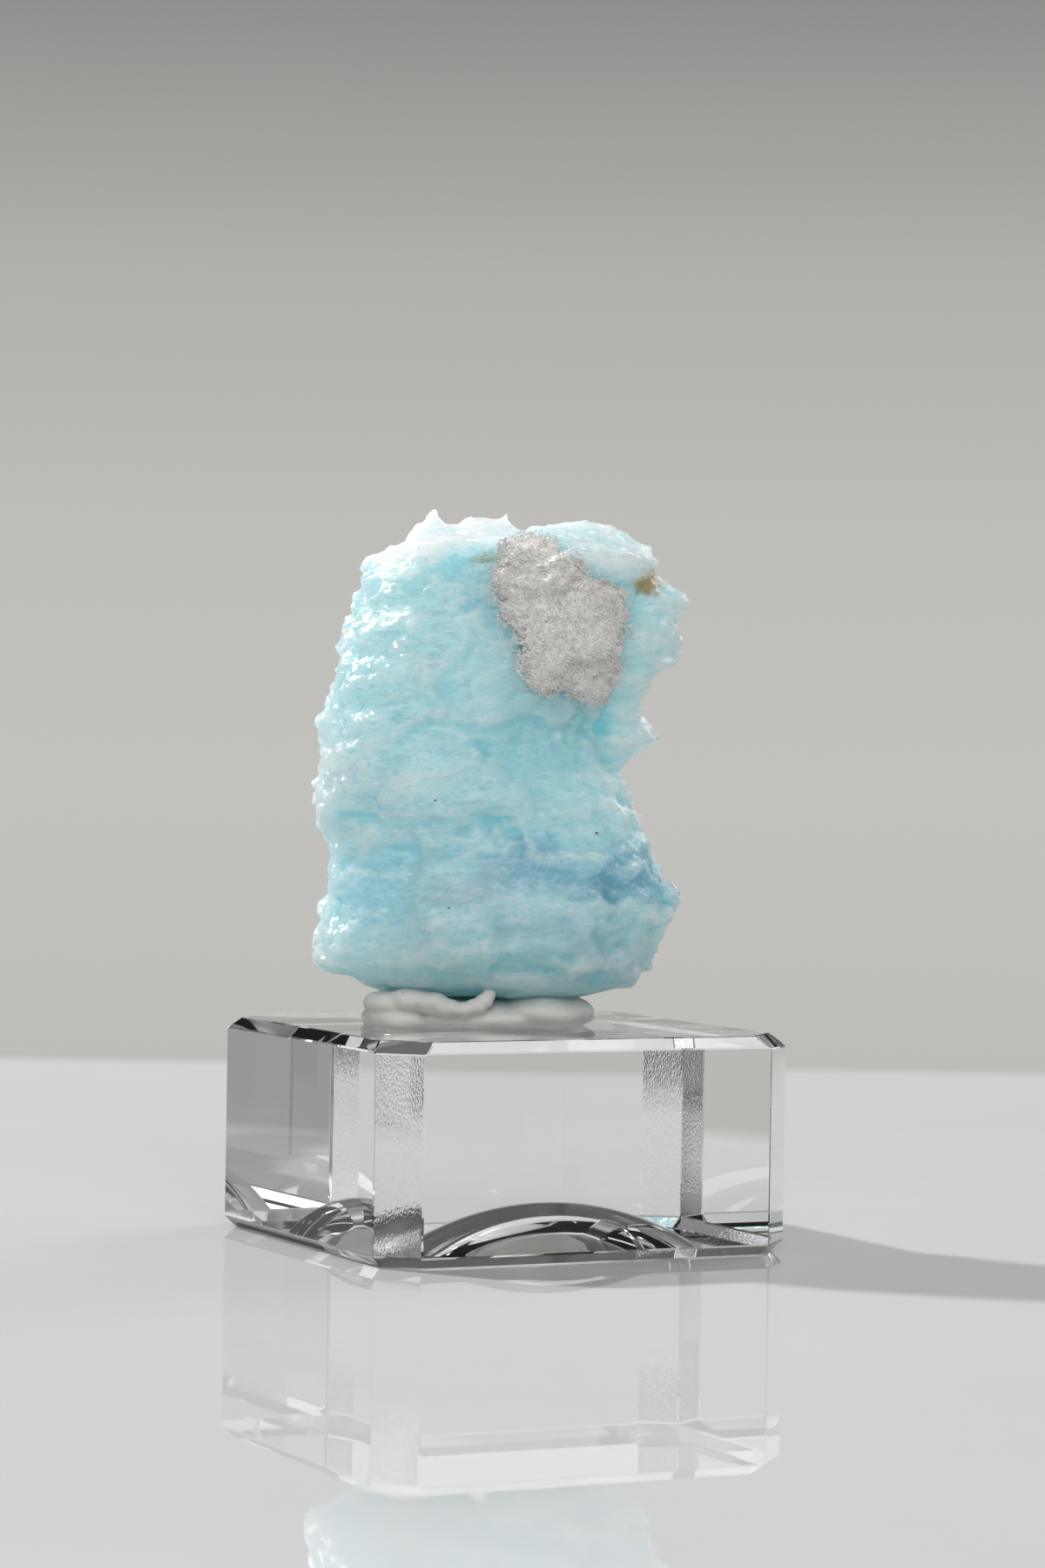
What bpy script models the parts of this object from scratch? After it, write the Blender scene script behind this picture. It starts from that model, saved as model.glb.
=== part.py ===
"""Etched aquamarine crystal with a white sugary crust, set with mineral tack on a clear cut-glass block.

Metres, +Z up. The origin is at the middle of the block's underside, the block's faces lie along X and Y,
and the crystal's broad side looks along -Y turned by VIEW_TURN.
"""
import math

import bmesh
import bpy
import numpy as np
from mathutils import Matrix, Vector, noise

for old in list(bpy.data.objects):
    bpy.data.objects.remove(old, do_unlink=True)

MM = 0.001

# Glass block, in millimetres
BLOCK_SIDE = 50.0
BLOCK_HEIGHT = 24.2
BLOCK_CORNER_CUT = 4.0
EDGE_BEVEL = 1.2
TOP_CORNER_BEVEL_IN = 2.0
TOP_CORNER_BEVEL_DOWN = 1.35
DISH_RIM_RADIUS = 17.6
DISH_DEPTH = 5.0
DISH_ASIDE = 1.5
DISH_SEGMENTS = 48

# The crystal's broad side against the block's faces, in degrees
VIEW_TURN = -25.9

# Sections of the crystal's main mass, seen from its broad side, in millimetres:
# height, left end, right end, front, back
MAIN_SECTIONS = (
    (27.4, -12.6, 9.2, -5.0, 6.0),
    (28.4, -16.0, 12.6, -8.0, 8.0),
    (29.6, -18.8, 14.6, -9.8, 9.6),
    (31.0, -21.7, 17.4, -11.0, 10.6),
    (32.3, -21.9, 18.0, -11.6, 11.0),
    (33.5, -21.8, 17.6, -12.2, 11.4),
    (36.0, -20.9, 18.8, -12.8, 12.0),
    (38.0, -21.0, 21.0, -12.8, 12.4),
    (40.5, -21.0, 19.6, -12.4, 12.6),
    (43.5, -20.3, 17.9, -11.6, 12.6),
    (46.0, -21.4, 16.6, -11.8, 12.6),
    (47.7, -22.3, 16.4, -12.2, 12.6),
    (49.0, -22.0, 15.4, -12.6, 12.6),
    (52.0, -21.5, 13.2, -12.8, 12.4),
    (55.0, -21.8, 11.0, -12.8, 12.0),
    (58.0, -21.7, 11.2, -12.6, 11.6),
    (61.0, -20.6, 11.8, -12.2, 11.2),
    (64.5, -19.9, 12.8, -11.8, 10.8),
    (68.0, -19.0, 14.0, -11.0, 10.2),
    (72.0, -18.1, 15.6, -9.8, 9.4),
    (75.4, -17.4, 17.4, -9.0, 8.6),
    (76.6, -16.1, 17.4, -7.8, 8.0),
    (78.0, -12.4, 17.0, -5.8, 7.0),
    (79.2, -10.6, 16.7, -3.8, 6.0),
    (80.2, -9.4, 15.0, -2.2, 5.0),
    (81.2, -8.0, 13.0, -1.0, 4.0),
)
# Teeth along the top ridge, and a lens-shaped flake low on the right: place sideways, in depth and in
# height, then half sizes along each
TEETH = (
    (-9.8, 0.5, 78.6, 2.4, 2.2, 1.9),
    (-8.4, 0.7, 80.2, 2.1, 2.0, 2.3),
    (-4.0, 0.9, 80.9, 2.6, 1.9, 1.8),
    (-3.0, 0.9, 81.0, 2.1, 1.8, 1.7),
    (-0.4, 0.9, 81.2, 1.4, 1.5, 1.8),
    (12.6, -3.5, 30.9, 4.5, 6.0, 2.4),
)
# Sections of the thinner sheet behind it, which shows past its right-hand edge
REAR_SECTIONS = (
    (49.6, 0.0, 12.0, 0.5, 8.5),
    (51.6, 0.5, 14.5, -0.6, 9.2),
    (53.2, 1.0, 12.7, -1.0, 9.4),
    (55.2, 1.5, 15.8, -1.6, 9.6),
    (56.6, 1.5, 18.2, -2.0, 9.6),
    (57.8, 1.5, 17.5, -2.0, 9.6),
    (59.2, 1.5, 16.4, -2.2, 9.4),
    (61.0, 2.0, 15.8, -2.4, 9.2),
    (62.6, 2.0, 16.8, -2.8, 9.0),
    (64.0, 2.0, 19.0, -3.2, 8.8),
    (65.2, 2.5, 20.8, -3.6, 8.8),
    (66.7, 2.5, 19.9, -3.7, 8.8),
    (68.0, 2.5, 20.5, -3.8, 8.8),
    (69.4, 2.5, 19.3, -3.8, 8.8),
    (70.4, 3.0, 18.6, -3.8, 8.6),
    (71.6, 3.0, 21.0, -3.6, 8.4),
    (73.0, 3.0, 20.8, -3.5, 8.2),
    (73.9, 3.5, 18.8, -3.4, 8.0),
    (74.8, 4.0, 17.8, -3.0, 7.4),
)
SECTION_POWER = 2.7
SIDES_AROUND = 120
ROWS_UP = 110
# The first and last point of a loft lie closer to its axis than this, on a ball of radius 1
POLE = 0.001

# Raised left-hand mass on the front: its edge as pairs of height and distance from the middle, how far its
# edge wanders, its step, and the heights between which it shows
LEFT_MASS_EDGE = (
    (47.5, 3.5),
    (50.0, 3.0),
    (51.5, 1.9),
    (54.4, -2.1),
    (58.0, -5.4),
    (62.2, -7.6),
    (66.0, -4.6),
    (76.0, 0.5),
)
LEFT_MASS_WANDER = 1.6
LEFT_MASS_STEP = 1.1
LEFT_MASS_FOOT = 48.0
LEFT_MASS_TOP = 78.0
# Raised plate on the lower front: middle, half width, height of its middle, half height, step
LOWER_PLATE = (0.6, 10.2, 38.0, 6.6, 0.9)
LOWER_PLATE_WANDER = 0.16
LOWER_PLATE_SOFTNESS = 0.033
# Broad hollow under the crust: middle, half width, height of its middle, half height and depth, and how
# steep its rim is
FRONT_HOLLOW = (5.0, 6.6, 56.6, 6.4, 2.0)
HOLLOW_RIM = 3.0
# Groove across the front below the left-hand mass: height at the middle, slope, half width, depth and
# right end
FRONT_GROOVE = (52.0, 0.22, 1.6, 0.5, 1.0)
# Cap that overhangs the front along the top: its lower edge as pairs of place and height, its ledge, and
# how far above the edge it fades
CAP_EDGE = ((-18.0, 75.4), (-2.0, 77.0), (6.0, 76.4), (10.8, 74.6), (18.0, 74.3))
CAP_LEDGE = 0.7
CAP_FADE = 2.4
CAP_WANDER = 0.3
CAP_SOFTNESS = 0.12
STEP_SOFTNESS = 0.22

# Etched plates: size along the crystal's length, through it and up it, and step height
COARSE_PLATES = (9.0, 5.5, 4.2, 0.34)
FINE_PLATES = (4.6, 2.4, 1.7, 0.14)
COARSE_SEED = 3.1
FINE_SEED = 7.7
PLATE_LEAN = 0.045
# The noise behind the ragged outlines of plates and rods starts from this seed, so each build comes out the same
NOISE_SEED = 5
noise.seed_set(NOISE_SEED)
# Ragged outline of a plate, as pairs of pace and reach in plate sizes
PLATE_RAGS = ((2.3, 0.224), (5.9, 0.096))
# Factors that spread the plates' own steps and leans, so that neighbours differ
STEP_KEY = 517.0
LEAN_KEY = 731.0
# Rods along the length end unevenly at both ends of the crystal: width and height of a thick rod, the run
# over which it keeps its end, how much finer the thin rods are and their share, and how far the ends reach
THICK_ROD = (4.0, 2.3)
ROD_RUN = 25.0
ROD_RAG_PACE = 1.7
ROD_RAG = 0.25
THIN_ROD_PACE = 2.3
THIN_ROD_SHARE = 0.3
LEFT_RODS = 0.45
RIGHT_RODS = 0.5
# The striations rise to the right on the left-hand side and level out to the right: slope and bend
GRAIN_SLOPE = 0.09
GRAIN_BEND = 0.0035
# Slow wander of the forms' edges, as pairs of pace and share
WANDER = ((0.55, 1.0), (1.7, 0.5))
# The relief dies out toward the foot
FOOT_LEVEL = 27.0
FOOT_CALM = 3.0
FOOT_RELIEF = 0.25
CRYSTAL_GRID = 0.55
CRYSTAL_TRIANGLES = 5200

# Lumps of the white crust: sideways, height, half width, half height, half thickness. Its sugary grain: size
# and depth of the pits between the grains, and how ragged its rim is
CRUST_LUMPS = (
    (2.4, 76.3, 3.4, 2.9, 2.9),
    (1.6, 74.2, 3.2, 2.9, 2.6),
    (4.6, 74.4, 3.6, 3.2, 3.0),
    (3.6, 71.2, 4.2, 3.4, 2.7),
    (7.2, 71.6, 4.4, 3.2, 2.7),
    (10.6, 71.2, 2.6, 2.6, 2.2),
    (9.4, 68.4, 3.7, 3.8, 2.6),
    (5.4, 68.0, 4.0, 3.2, 2.4),
    (5.2, 65.0, 3.4, 2.8, 2.3),
    (8.4, 64.8, 4.0, 3.2, 2.4),
    (9.2, 62.6, 2.4, 1.9, 2.0),
    (4.2, 63.2, 2.0, 1.6, 1.8),
)
CRUST_PROUD = 1.9
CRUST_GRAIN = 1.3
CRUST_PITS = 0.5
CRUST_RAGGED = 0.7
CRUST_RAG_PACES = ((0.45, 1.0), (1.1, 0.5))
CRUST_GRID = 0.42
CRUST_TRIANGLES = 1500

# Lumps of the tack: sideways, depth, height, half sizes along each
TACK_LUMPS = (
    (-2.6, 0.4, 25.2, 13.2, 8.6, 2.2),
    (4.6, -0.4, 25.9, 5.8, 7.8, 2.2),
    (-11.6, -2.8, 25.0, 4.4, 6.0, 1.9),
    (-12.2, -5.4, 25.4, 3.2, 3.2, 1.4),
    (-12.2, -6.2, 27.0, 2.5, 2.6, 1.1),
    (-10.0, -7.0, 27.5, 2.4, 2.2, 1.0),
    (-8.0, -7.6, 27.1, 2.0, 1.8, 0.9),
    (-6.2, -8.0, 26.5, 1.7, 1.5, 0.8),
    (-4.4, -8.2, 26.3, 1.5, 1.3, 0.7),
    (-2.9, -8.1, 26.7, 1.2, 1.2, 0.8),
    (-2.0, -7.9, 27.4, 0.9, 1.1, 0.8),
    (-1.5, -7.7, 28.1, 0.8, 1.0, 0.8),
)
TACK_GRID = 0.5
TACK_TRIANGLES = 1200
# Cube that cuts the pad flat just above the block's top
CUT_CUBE = 60.0

# Clearance between pieces that touch. A cutter swells by a little more, because it is thinned out
# afterwards. Lumps are balls of this many segments and rings, and edges are sharp from this angle in degrees
GAP = 0.3
SWELL = 0.39
SWELL_GRID = 0.4
LUMP_SEGMENTS = 36
LUMP_RINGS = 24
SHARP_FROM = 30.0


def make_material(name, colour, roughness, transmission=0.0, ior=1.5):
    """A plain Principled material with the piece's own colour."""
    mat = bpy.data.materials.new(name)
    mat.use_nodes = True
    shader = mat.node_tree.nodes["Principled BSDF"]
    shader.inputs["Base Color"].default_value = (*colour, 1.0)
    shader.inputs["Roughness"].default_value = roughness
    shader.inputs["Metallic"].default_value = 0.0
    shader.inputs["Transmission Weight"].default_value = transmission
    shader.inputs["IOR"].default_value = ior
    return mat


def add_object(name, bm, mat=None):
    """Put a finished bmesh into the scene as one named object."""
    mesh = bpy.data.meshes.new(name)
    bm.to_mesh(mesh)
    bm.free()
    if mat:
        mesh.materials.append(mat)
    obj = bpy.data.objects.new(name, mesh)
    bpy.context.scene.collection.objects.link(obj)
    return obj


def apply_modifiers(obj):
    """Replace the object's mesh by what its modifiers make of it."""
    graph = bpy.context.evaluated_depsgraph_get()
    graph.update()
    made = bpy.data.meshes.new_from_object(obj.evaluated_get(graph))
    obj.modifiers.clear()
    old = obj.data
    obj.data = made
    bpy.data.meshes.remove(old)


def remesh(obj, grid):
    """Join the overlapping lumps of one object into one even skin."""
    modifier = obj.modifiers.new("even_skin", "REMESH")
    modifier.mode = "VOXEL"
    modifier.voxel_size = grid * MM
    modifier.adaptivity = 0.0
    apply_modifiers(obj)


def thin_out(obj, triangles):
    """Collapse the flattest stretches until about this many triangles are left."""
    obj.data.calc_loop_triangles()
    now = len(obj.data.loop_triangles)
    modifier = obj.modifiers.new("thin_out", "DECIMATE")
    modifier.decimate_type = "COLLAPSE"
    modifier.ratio = min(1.0, triangles / now)
    modifier.use_collapse_triangulate = True
    apply_modifiers(obj)


def cut_away(obj, cutter):
    """Boolean difference, after which the cutter goes."""
    modifier = obj.modifiers.new("cut", "BOOLEAN")
    modifier.operation = "DIFFERENCE"
    modifier.solver = "EXACT"
    modifier.object = cutter
    apply_modifiers(obj)
    bpy.data.objects.remove(cutter, do_unlink=True)


def loft(sections, into):
    """A skin through horizontal sections, each a rounded rectangle, closed flat at both ends."""
    table = np.array(sections)
    made = bmesh.ops.create_uvsphere(into, u_segments=SIDES_AROUND, v_segments=ROWS_UP, radius=1.0)
    low, high = table[0, 0], table[-1, 0]
    for vert in made["verts"]:
        height = low + (high - low) * (0.5 + 0.5 * max(-1.0, min(1.0, vert.co.z)))
        left, right, front, back = (np.interp(height, table[:, 0], table[:, k]) for k in (1, 2, 3, 4))
        outward = Vector((vert.co.x, vert.co.y))
        if outward.length < POLE:
            outward.zero()
        outward.normalize()
        across, through = (math.copysign(abs(side) ** (2.0 / SECTION_POWER), side) for side in outward)
        vert.co.x = 0.5 * (left + right + across * (right - left)) * MM
        vert.co.y = 0.5 * (front + back + through * (back - front)) * MM
        vert.co.z = height * MM


def front_of_main(across, height):
    """Depth of the main mass's front at a place on the broad side."""
    table = np.array(MAIN_SECTIONS)
    left, right, front, back = (np.interp(height, table[:, 0], table[:, k]) for k in (1, 2, 3, 4))
    reach = min(1.0, abs(across - 0.5 * (left + right)) / (0.5 * (right - left)))
    bulge = (1.0 - reach ** SECTION_POWER) ** (1.0 / SECTION_POWER)
    return 0.5 * (front + back) - bulge * 0.5 * (back - front)


def pick(feature, key):
    """A random number from -1 to 1 that belongs to one cell of a pattern."""
    return 2.0 * noise.cell(feature * key) - 1.0


def plates(place, sizes, seed):
    """Step height, in millimetres, of the etched plate that a place on the skin belongs to."""
    along, through, up, step = sizes
    spot = Vector((place.x / along, place.y / through, place.z / up))
    aside = Vector((seed, seed, seed))
    ragged = spot + aside
    for pace, reach in PLATE_RAGS:
        ragged += noise.noise_vector(spot * pace + aside) * reach
    feature = noise.voronoi(ragged)[1][0]
    lean = (ragged - feature).dot(noise.cell_vector(feature * LEAN_KEY) - Vector((0.5, 0.5, 0.5)))
    return step * pick(feature, STEP_KEY) + along * PLATE_LEAN * lean


def rod_ends(place):
    """How far the rod that ends at a place reaches out, from -1 to 1."""
    spot = Vector((place.x / ROD_RUN, place.y / THICK_ROD[0], place.z / THICK_ROD[1]))
    spot += noise.noise_vector(spot * ROD_RAG_PACE) * ROD_RAG
    thick = noise.voronoi(spot)[1][0]
    thin = noise.voronoi(spot * THIN_ROD_PACE)[1][0]
    return (1.0 - THIN_ROD_SHARE) * pick(thick, STEP_KEY) + THIN_ROD_SHARE * pick(thin, STEP_KEY)


def rise(distance, softness):
    """A soft step from 0 to 1 across a line, at a distance from it in millimetres."""
    return 1.0 / (1.0 + math.exp(-distance / softness))


def front_forms(across, height, wander):
    """How far the named forms on the front stand out, in millimetres."""
    out = 0.0
    if LEFT_MASS_FOOT < height < LEFT_MASS_TOP:
        edge = np.interp(height, [p[0] for p in LEFT_MASS_EDGE], [p[1] for p in LEFT_MASS_EDGE])
        out += LEFT_MASS_STEP * rise(edge - across + LEFT_MASS_WANDER * wander, STEP_SOFTNESS)
    middle, half_width, level, half_height, step = LOWER_PLATE
    reach = max(abs(across - middle) / half_width, abs(height - level) / half_height)
    out += step * rise(1.0 - reach - LOWER_PLATE_WANDER * wander, LOWER_PLATE_SOFTNESS)
    middle, half_width, level, half_height, deep = FRONT_HOLLOW
    reach = math.hypot((across - middle) / half_width, (height - level) / half_height)
    out -= deep * math.exp(-reach ** HOLLOW_RIM)
    level, slope, half_width, deep, right_end = FRONT_GROOVE
    if across < right_end:
        away = (height - level - slope * across) / half_width
        out -= deep * math.exp(-away ** 2.0)
    cap_edge = np.interp(across, [p[0] for p in CAP_EDGE], [p[1] for p in CAP_EDGE])
    above = height - cap_edge + CAP_WANDER * wander
    out += CAP_LEDGE * math.exp(-(above / CAP_FADE) ** 2.0) * rise(above, CAP_SOFTNESS)
    return out


def relief(at, normal):
    """Height of the etched skin over the loft, in millimetres."""
    place = at / MM
    place.z -= GRAIN_SLOPE * place.x - GRAIN_BEND * place.x ** 2.0
    wander = sum(share * noise.noise(place * pace) for pace, share in WANDER)
    move = plates(place, COARSE_PLATES, COARSE_SEED) + plates(place, FINE_PLATES, FINE_SEED)
    move += rod_ends(place) * (RIGHT_RODS if normal.x > 0.0 else LEFT_RODS) * normal.x ** 2.0
    if normal.y < 0.0:
        move += front_forms(at.x / MM, at.z / MM, wander) * min(1.0, -2.0 * normal.y)
    return move * max(FOOT_RELIEF, min(1.0, (at.z / MM - FOOT_LEVEL) / FOOT_CALM))


def etch(obj):
    """Move every point of the crystal's skin along its normal by the relief."""
    skin = [(vert.co.copy(), vert.normal.copy()) for vert in obj.data.vertices]
    for vert, (at, normal) in zip(obj.data.vertices, skin):
        vert.co = at + normal * relief(at, normal) * MM
    obj.data.update()


def granulate(obj):
    """Give the crust its ragged rim and its sugary grain."""
    mesh = obj.data
    normals = [vert.normal.copy() for vert in mesh.vertices]
    for vert, normal in zip(mesh.vertices, normals):
        spot = vert.co / MM
        grain = noise.voronoi(spot / CRUST_GRAIN)[0][0] * CRUST_PITS
        rim = sum(share * noise.noise(spot * pace) for pace, share in CRUST_RAG_PACES)
        vert.co += normal * (rim * CRUST_RAGGED - grain) * MM
    mesh.update()


def swollen(obj, triangles):
    """A cutter the shape of a piece, grown by the clearance on every side."""
    grown = obj.copy()
    grown.data = obj.data.copy()
    grown.name = obj.name + "_cutter"
    bpy.context.scene.collection.objects.link(grown)
    modifier = grown.modifiers.new("swell", "DISPLACE")
    modifier.strength = SWELL * MM
    modifier.mid_level = 0.0
    apply_modifiers(grown)
    remesh(grown, SWELL_GRID)
    thin_out(grown, triangles)
    return grown


def lumps(into, rows):
    """Overlapping ellipsoids: each row holds a middle and three half sizes."""
    for x, y, z, half_x, half_y, half_z in rows:
        size = Matrix.Diagonal((half_x * MM, half_y * MM, half_z * MM, 1.0))
        place = Matrix.Translation(Vector((x, y, z)) * MM)
        bmesh.ops.create_uvsphere(
            into, u_segments=LUMP_SEGMENTS, v_segments=LUMP_RINGS, radius=1.0, matrix=place @ size
        )


# Glass block: a square prism ground by planes, with a dish in its underside
glass = make_material("glass", (0.93, 0.95, 0.96), 0.03, 1.0, 1.5)


def grind(bm, point, normal):
    """Grind one flat facet: everything on the far side of a plane goes."""
    shape = bm.verts[:] + bm.edges[:] + bm.faces[:]
    place, facing = Vector(point) * MM, Vector(normal).normalized()
    cut = bmesh.ops.bisect_plane(bm, geom=shape, plane_co=place, plane_no=facing, clear_outer=True, dist=1e-7)
    rim = [item for item in cut["geom_cut"] if isinstance(item, bmesh.types.BMEdge)]
    bmesh.ops.contextual_create(bm, geom=rim)


half = BLOCK_SIDE / 2.0
bm = bmesh.new()
bmesh.ops.create_cube(bm, size=1.0)
bmesh.ops.scale(bm, verts=bm.verts, vec=Vector((BLOCK_SIDE, BLOCK_SIDE, BLOCK_HEIGHT)) * MM)
bmesh.ops.translate(bm, verts=bm.verts, vec=Vector((0.0, 0.0, BLOCK_HEIGHT / 2.0)) * MM)
for sx in (-1, 1):
    for sy in (-1, 1):
        grind(bm, (sx * half, sy * (half - BLOCK_CORNER_CUT), 0.0), (sx, sy, 0))
for nx, ny in ((1, 0), (-1, 0), (0, 1), (0, -1)):
    grind(bm, (nx * half, ny * half, BLOCK_HEIGHT - EDGE_BEVEL), (nx, ny, 1))
    grind(bm, (nx * half, ny * half, EDGE_BEVEL), (nx, ny, -1))
facet = half - BLOCK_CORNER_CUT / 2.0
sideways = TOP_CORNER_BEVEL_DOWN / math.sqrt(2.0)
for sx in (-1, 1):
    for sy in (-1, 1):
        rim_top = (sx * facet, sy * facet, BLOCK_HEIGHT - TOP_CORNER_BEVEL_DOWN)
        grind(bm, rim_top, (sx * sideways, sy * sideways, TOP_CORNER_BEVEL_IN))
        grind(bm, (sx * facet, sy * facet, EDGE_BEVEL), (sx * math.sqrt(0.5), sy * math.sqrt(0.5), -1))
bmesh.ops.recalc_face_normals(bm, faces=bm.faces)
block = add_object("glass_block", bm, glass)

dish_radius = (DISH_RIM_RADIUS ** 2 + DISH_DEPTH ** 2) / (2.0 * DISH_DEPTH)
bm = bmesh.new()
bmesh.ops.create_uvsphere(bm, u_segments=DISH_SEGMENTS, v_segments=DISH_SEGMENTS, radius=dish_radius * MM)
bmesh.ops.translate(bm, verts=bm.verts, vec=Vector((DISH_ASIDE, 0.0, DISH_DEPTH - dish_radius)) * MM)
cut_away(block, add_object("dish_cutter", bm))

# Aquamarine crystal: two lofted masses grown together, then etched into ragged plates
aquamarine = make_material("aquamarine", (0.38, 0.65, 0.70), 0.35, 0.5, 1.57)
bm = bmesh.new()
loft(MAIN_SECTIONS, bm)
loft(REAR_SECTIONS, bm)
lumps(bm, TEETH)
crystal = add_object("aquamarine_crystal", bm, aquamarine)
remesh(crystal, CRYSTAL_GRID)
etch(crystal)
remesh(crystal, CRYSTAL_GRID)
thin_out(crystal, CRYSTAL_TRIANGLES)

# White crust: sugary albite grown on the upper right of the broad side
albite = make_material("albite_crust", (0.62, 0.59, 0.56), 0.8)
bm = bmesh.new()
for x, z, half_x, half_z, thick in CRUST_LUMPS:
    lumps(bm, [(x, front_of_main(x, z) + thick - CRUST_PROUD, z, half_x, thick, half_z)])
crust = add_object("white_crust", bm, albite)
remesh(crust, CRUST_GRID)
granulate(crust)
remesh(crust, CRUST_GRID)
thin_out(crust, CRUST_TRIANGLES)
cut_away(crystal, swollen(crust, CRUST_TRIANGLES))

# Mineral tack: a pad of white putty with its left end folded over, dented by the crystal
putty = make_material("mineral_tack", (0.78, 0.76, 0.73), 0.6)
bm = bmesh.new()
lumps(bm, TACK_LUMPS)
tack = add_object("mineral_tack", bm, putty)
remesh(tack, TACK_GRID)
thin_out(tack, TACK_TRIANGLES)
bm = bmesh.new()
bmesh.ops.create_cube(bm, size=CUT_CUBE * MM)
bmesh.ops.translate(bm, verts=bm.verts, vec=Vector((0.0, 0.0, BLOCK_HEIGHT + GAP - CUT_CUBE / 2.0)) * MM)
cut_away(tack, add_object("block_top", bm))
cut_away(tack, swollen(crystal, 2 * CRYSTAL_TRIANGLES))

for obj in (crystal, crust, tack):
    obj.rotation_euler.z = math.radians(VIEW_TURN)
for obj in (crystal, crust, tack, block):
    obj.data.shade_smooth()
    obj.data.set_sharp_from_angle(angle=math.radians(SHARP_FROM))
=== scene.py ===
"""An etched aquamarine crystal with a white crust, pressed into mineral tack on a clear cut-glass block."""
import math
import random

import bmesh
import bpy
import numpy as np
from mathutils import Matrix, Vector, noise
from mathutils.bvhtree import BVHTree


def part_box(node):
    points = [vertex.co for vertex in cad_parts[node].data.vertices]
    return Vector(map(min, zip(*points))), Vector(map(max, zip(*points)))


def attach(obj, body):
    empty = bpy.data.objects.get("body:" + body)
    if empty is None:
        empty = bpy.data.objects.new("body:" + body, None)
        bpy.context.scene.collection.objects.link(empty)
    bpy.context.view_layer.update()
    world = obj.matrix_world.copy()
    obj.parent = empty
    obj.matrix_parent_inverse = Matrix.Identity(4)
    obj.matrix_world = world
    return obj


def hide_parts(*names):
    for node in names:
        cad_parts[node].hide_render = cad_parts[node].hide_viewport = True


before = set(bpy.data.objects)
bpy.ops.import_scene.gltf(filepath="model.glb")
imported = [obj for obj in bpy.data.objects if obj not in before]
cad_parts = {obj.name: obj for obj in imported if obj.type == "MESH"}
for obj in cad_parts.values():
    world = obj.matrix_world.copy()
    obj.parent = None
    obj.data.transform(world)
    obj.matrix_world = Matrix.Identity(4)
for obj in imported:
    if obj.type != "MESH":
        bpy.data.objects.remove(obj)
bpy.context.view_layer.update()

# Viewpoint: a long lens about half a metre from the specimen, level with its middle and turned
# to the crystal's broad side. The block's near corner points a little to the left.
MM = 0.001
BROAD_SIDE_TURN = math.radians(-25.9)
CAMERA_PLACE = Vector((-211.4, -439.7, 55.9)) * MM
# Degrees that the camera looks down and is rolled, then its lens and the sides of its sensor in millimetres
CAMERA_DOWN = 0.52
CAMERA_ROLL = 0.86
LENS = 99.0
SENSOR_WIDTH = 24.0
SENSOR_HEIGHT = 36.0

camera_data = bpy.data.cameras.new("camera")
camera_data.sensor_fit = "VERTICAL"
camera_data.sensor_height = SENSOR_HEIGHT
camera_data.sensor_width = SENSOR_WIDTH
camera_data.lens = LENS
camera_data.clip_start = 0.01
camera = bpy.data.objects.new("camera", camera_data)
bpy.context.scene.collection.objects.link(camera)
camera.matrix_world = (
    Matrix.Translation(CAMERA_PLACE)
    @ Matrix.Rotation(BROAD_SIDE_TURN, 4, "Z")
    @ Matrix.Rotation(math.radians(90.0 - CAMERA_DOWN), 4, "X")
    @ Matrix.Rotation(math.radians(CAMERA_ROLL), 4, "Z")
)
bpy.context.scene.camera = camera
bpy.context.scene.view_settings.view_transform = "Standard"


# Studio: a glossy pale tabletop that ends softly behind the block, an evenly lit grey wall beyond it,
# darker surroundings behind the viewer, and one bright window to the left, a little behind the block.
# The wall's shades from low to high, as pairs of place and colour. The heights are sines of the angle
# above level, and the turns are cosines of the angle away from the way the camera looks.
WALL_SHADES = (
    (0.0, "#BAB9B5"),
    (0.06, "#BFBEBA"),
    (0.13, "#C3C1BD"),
    (0.216, "#BEBDB9"),
    (0.30, "#B1AFAB"),
    (0.374, "#959492"),
    (0.44, "#72716F"),
    (0.52, "#555453"),
    (0.62, "#4C4B4A"),
    (1.0, "#4A4A49"),
)
WALL_HEIGHTS = (-0.10, 0.60)
DARK_TURNS = (0.55, -0.35)
DARK_SIDE = "#8C8B8A"
OVERHEAD_HEIGHTS = (0.78, 0.92)
OVERHEAD = "#D2D2D4"


def linear(hex_colour):
    """An sRGB hex colour as linear RGBA."""
    channels = [int(hex_colour[k : k + 2], 16) / 255.0 for k in (1, 3, 5)]
    return tuple(c / 12.92 if c <= 0.04045 else ((c + 0.055) / 1.055) ** 2.4 for c in channels) + (1.0,)


def set_inputs(mat, node, inputs):
    """Set a node's inputs, each from a value, another node's socket, or a node for its first socket."""
    for socket, value in inputs.items():
        if isinstance(value, bpy.types.Node):
            value = value.outputs[0]
        if isinstance(value, bpy.types.NodeSocket):
            mat.node_tree.links.new(value, node.inputs[socket])
        else:
            node.inputs[socket].default_value = value


def add_node(mat, kind, inputs=None, **settings):
    """Add one shader node with its settings and its inputs."""
    made = mat.node_tree.nodes.new("ShaderNode" + kind)
    for name, value in settings.items():
        setattr(made, name, value)
    set_inputs(mat, made, inputs or {})
    return made


def set_stops(ramp_node, stops):
    """Give a colour ramp its stops, as pairs of place and hex colour."""
    ramp = ramp_node.color_ramp
    while len(ramp.elements) > 1:
        ramp.elements.remove(ramp.elements[-1])
    ramp.elements[0].position, ramp.elements[0].color = stops[0][0], linear(stops[0][1])
    for place, colour in stops[1:]:
        ramp.elements.new(place).color = linear(colour)


def new_material(name):
    """A material with its Principled shader, ready for its nodes."""
    mat = bpy.data.materials.new(name)
    mat.use_nodes = True
    return mat, mat.node_tree.nodes["Principled BSDF"]


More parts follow.
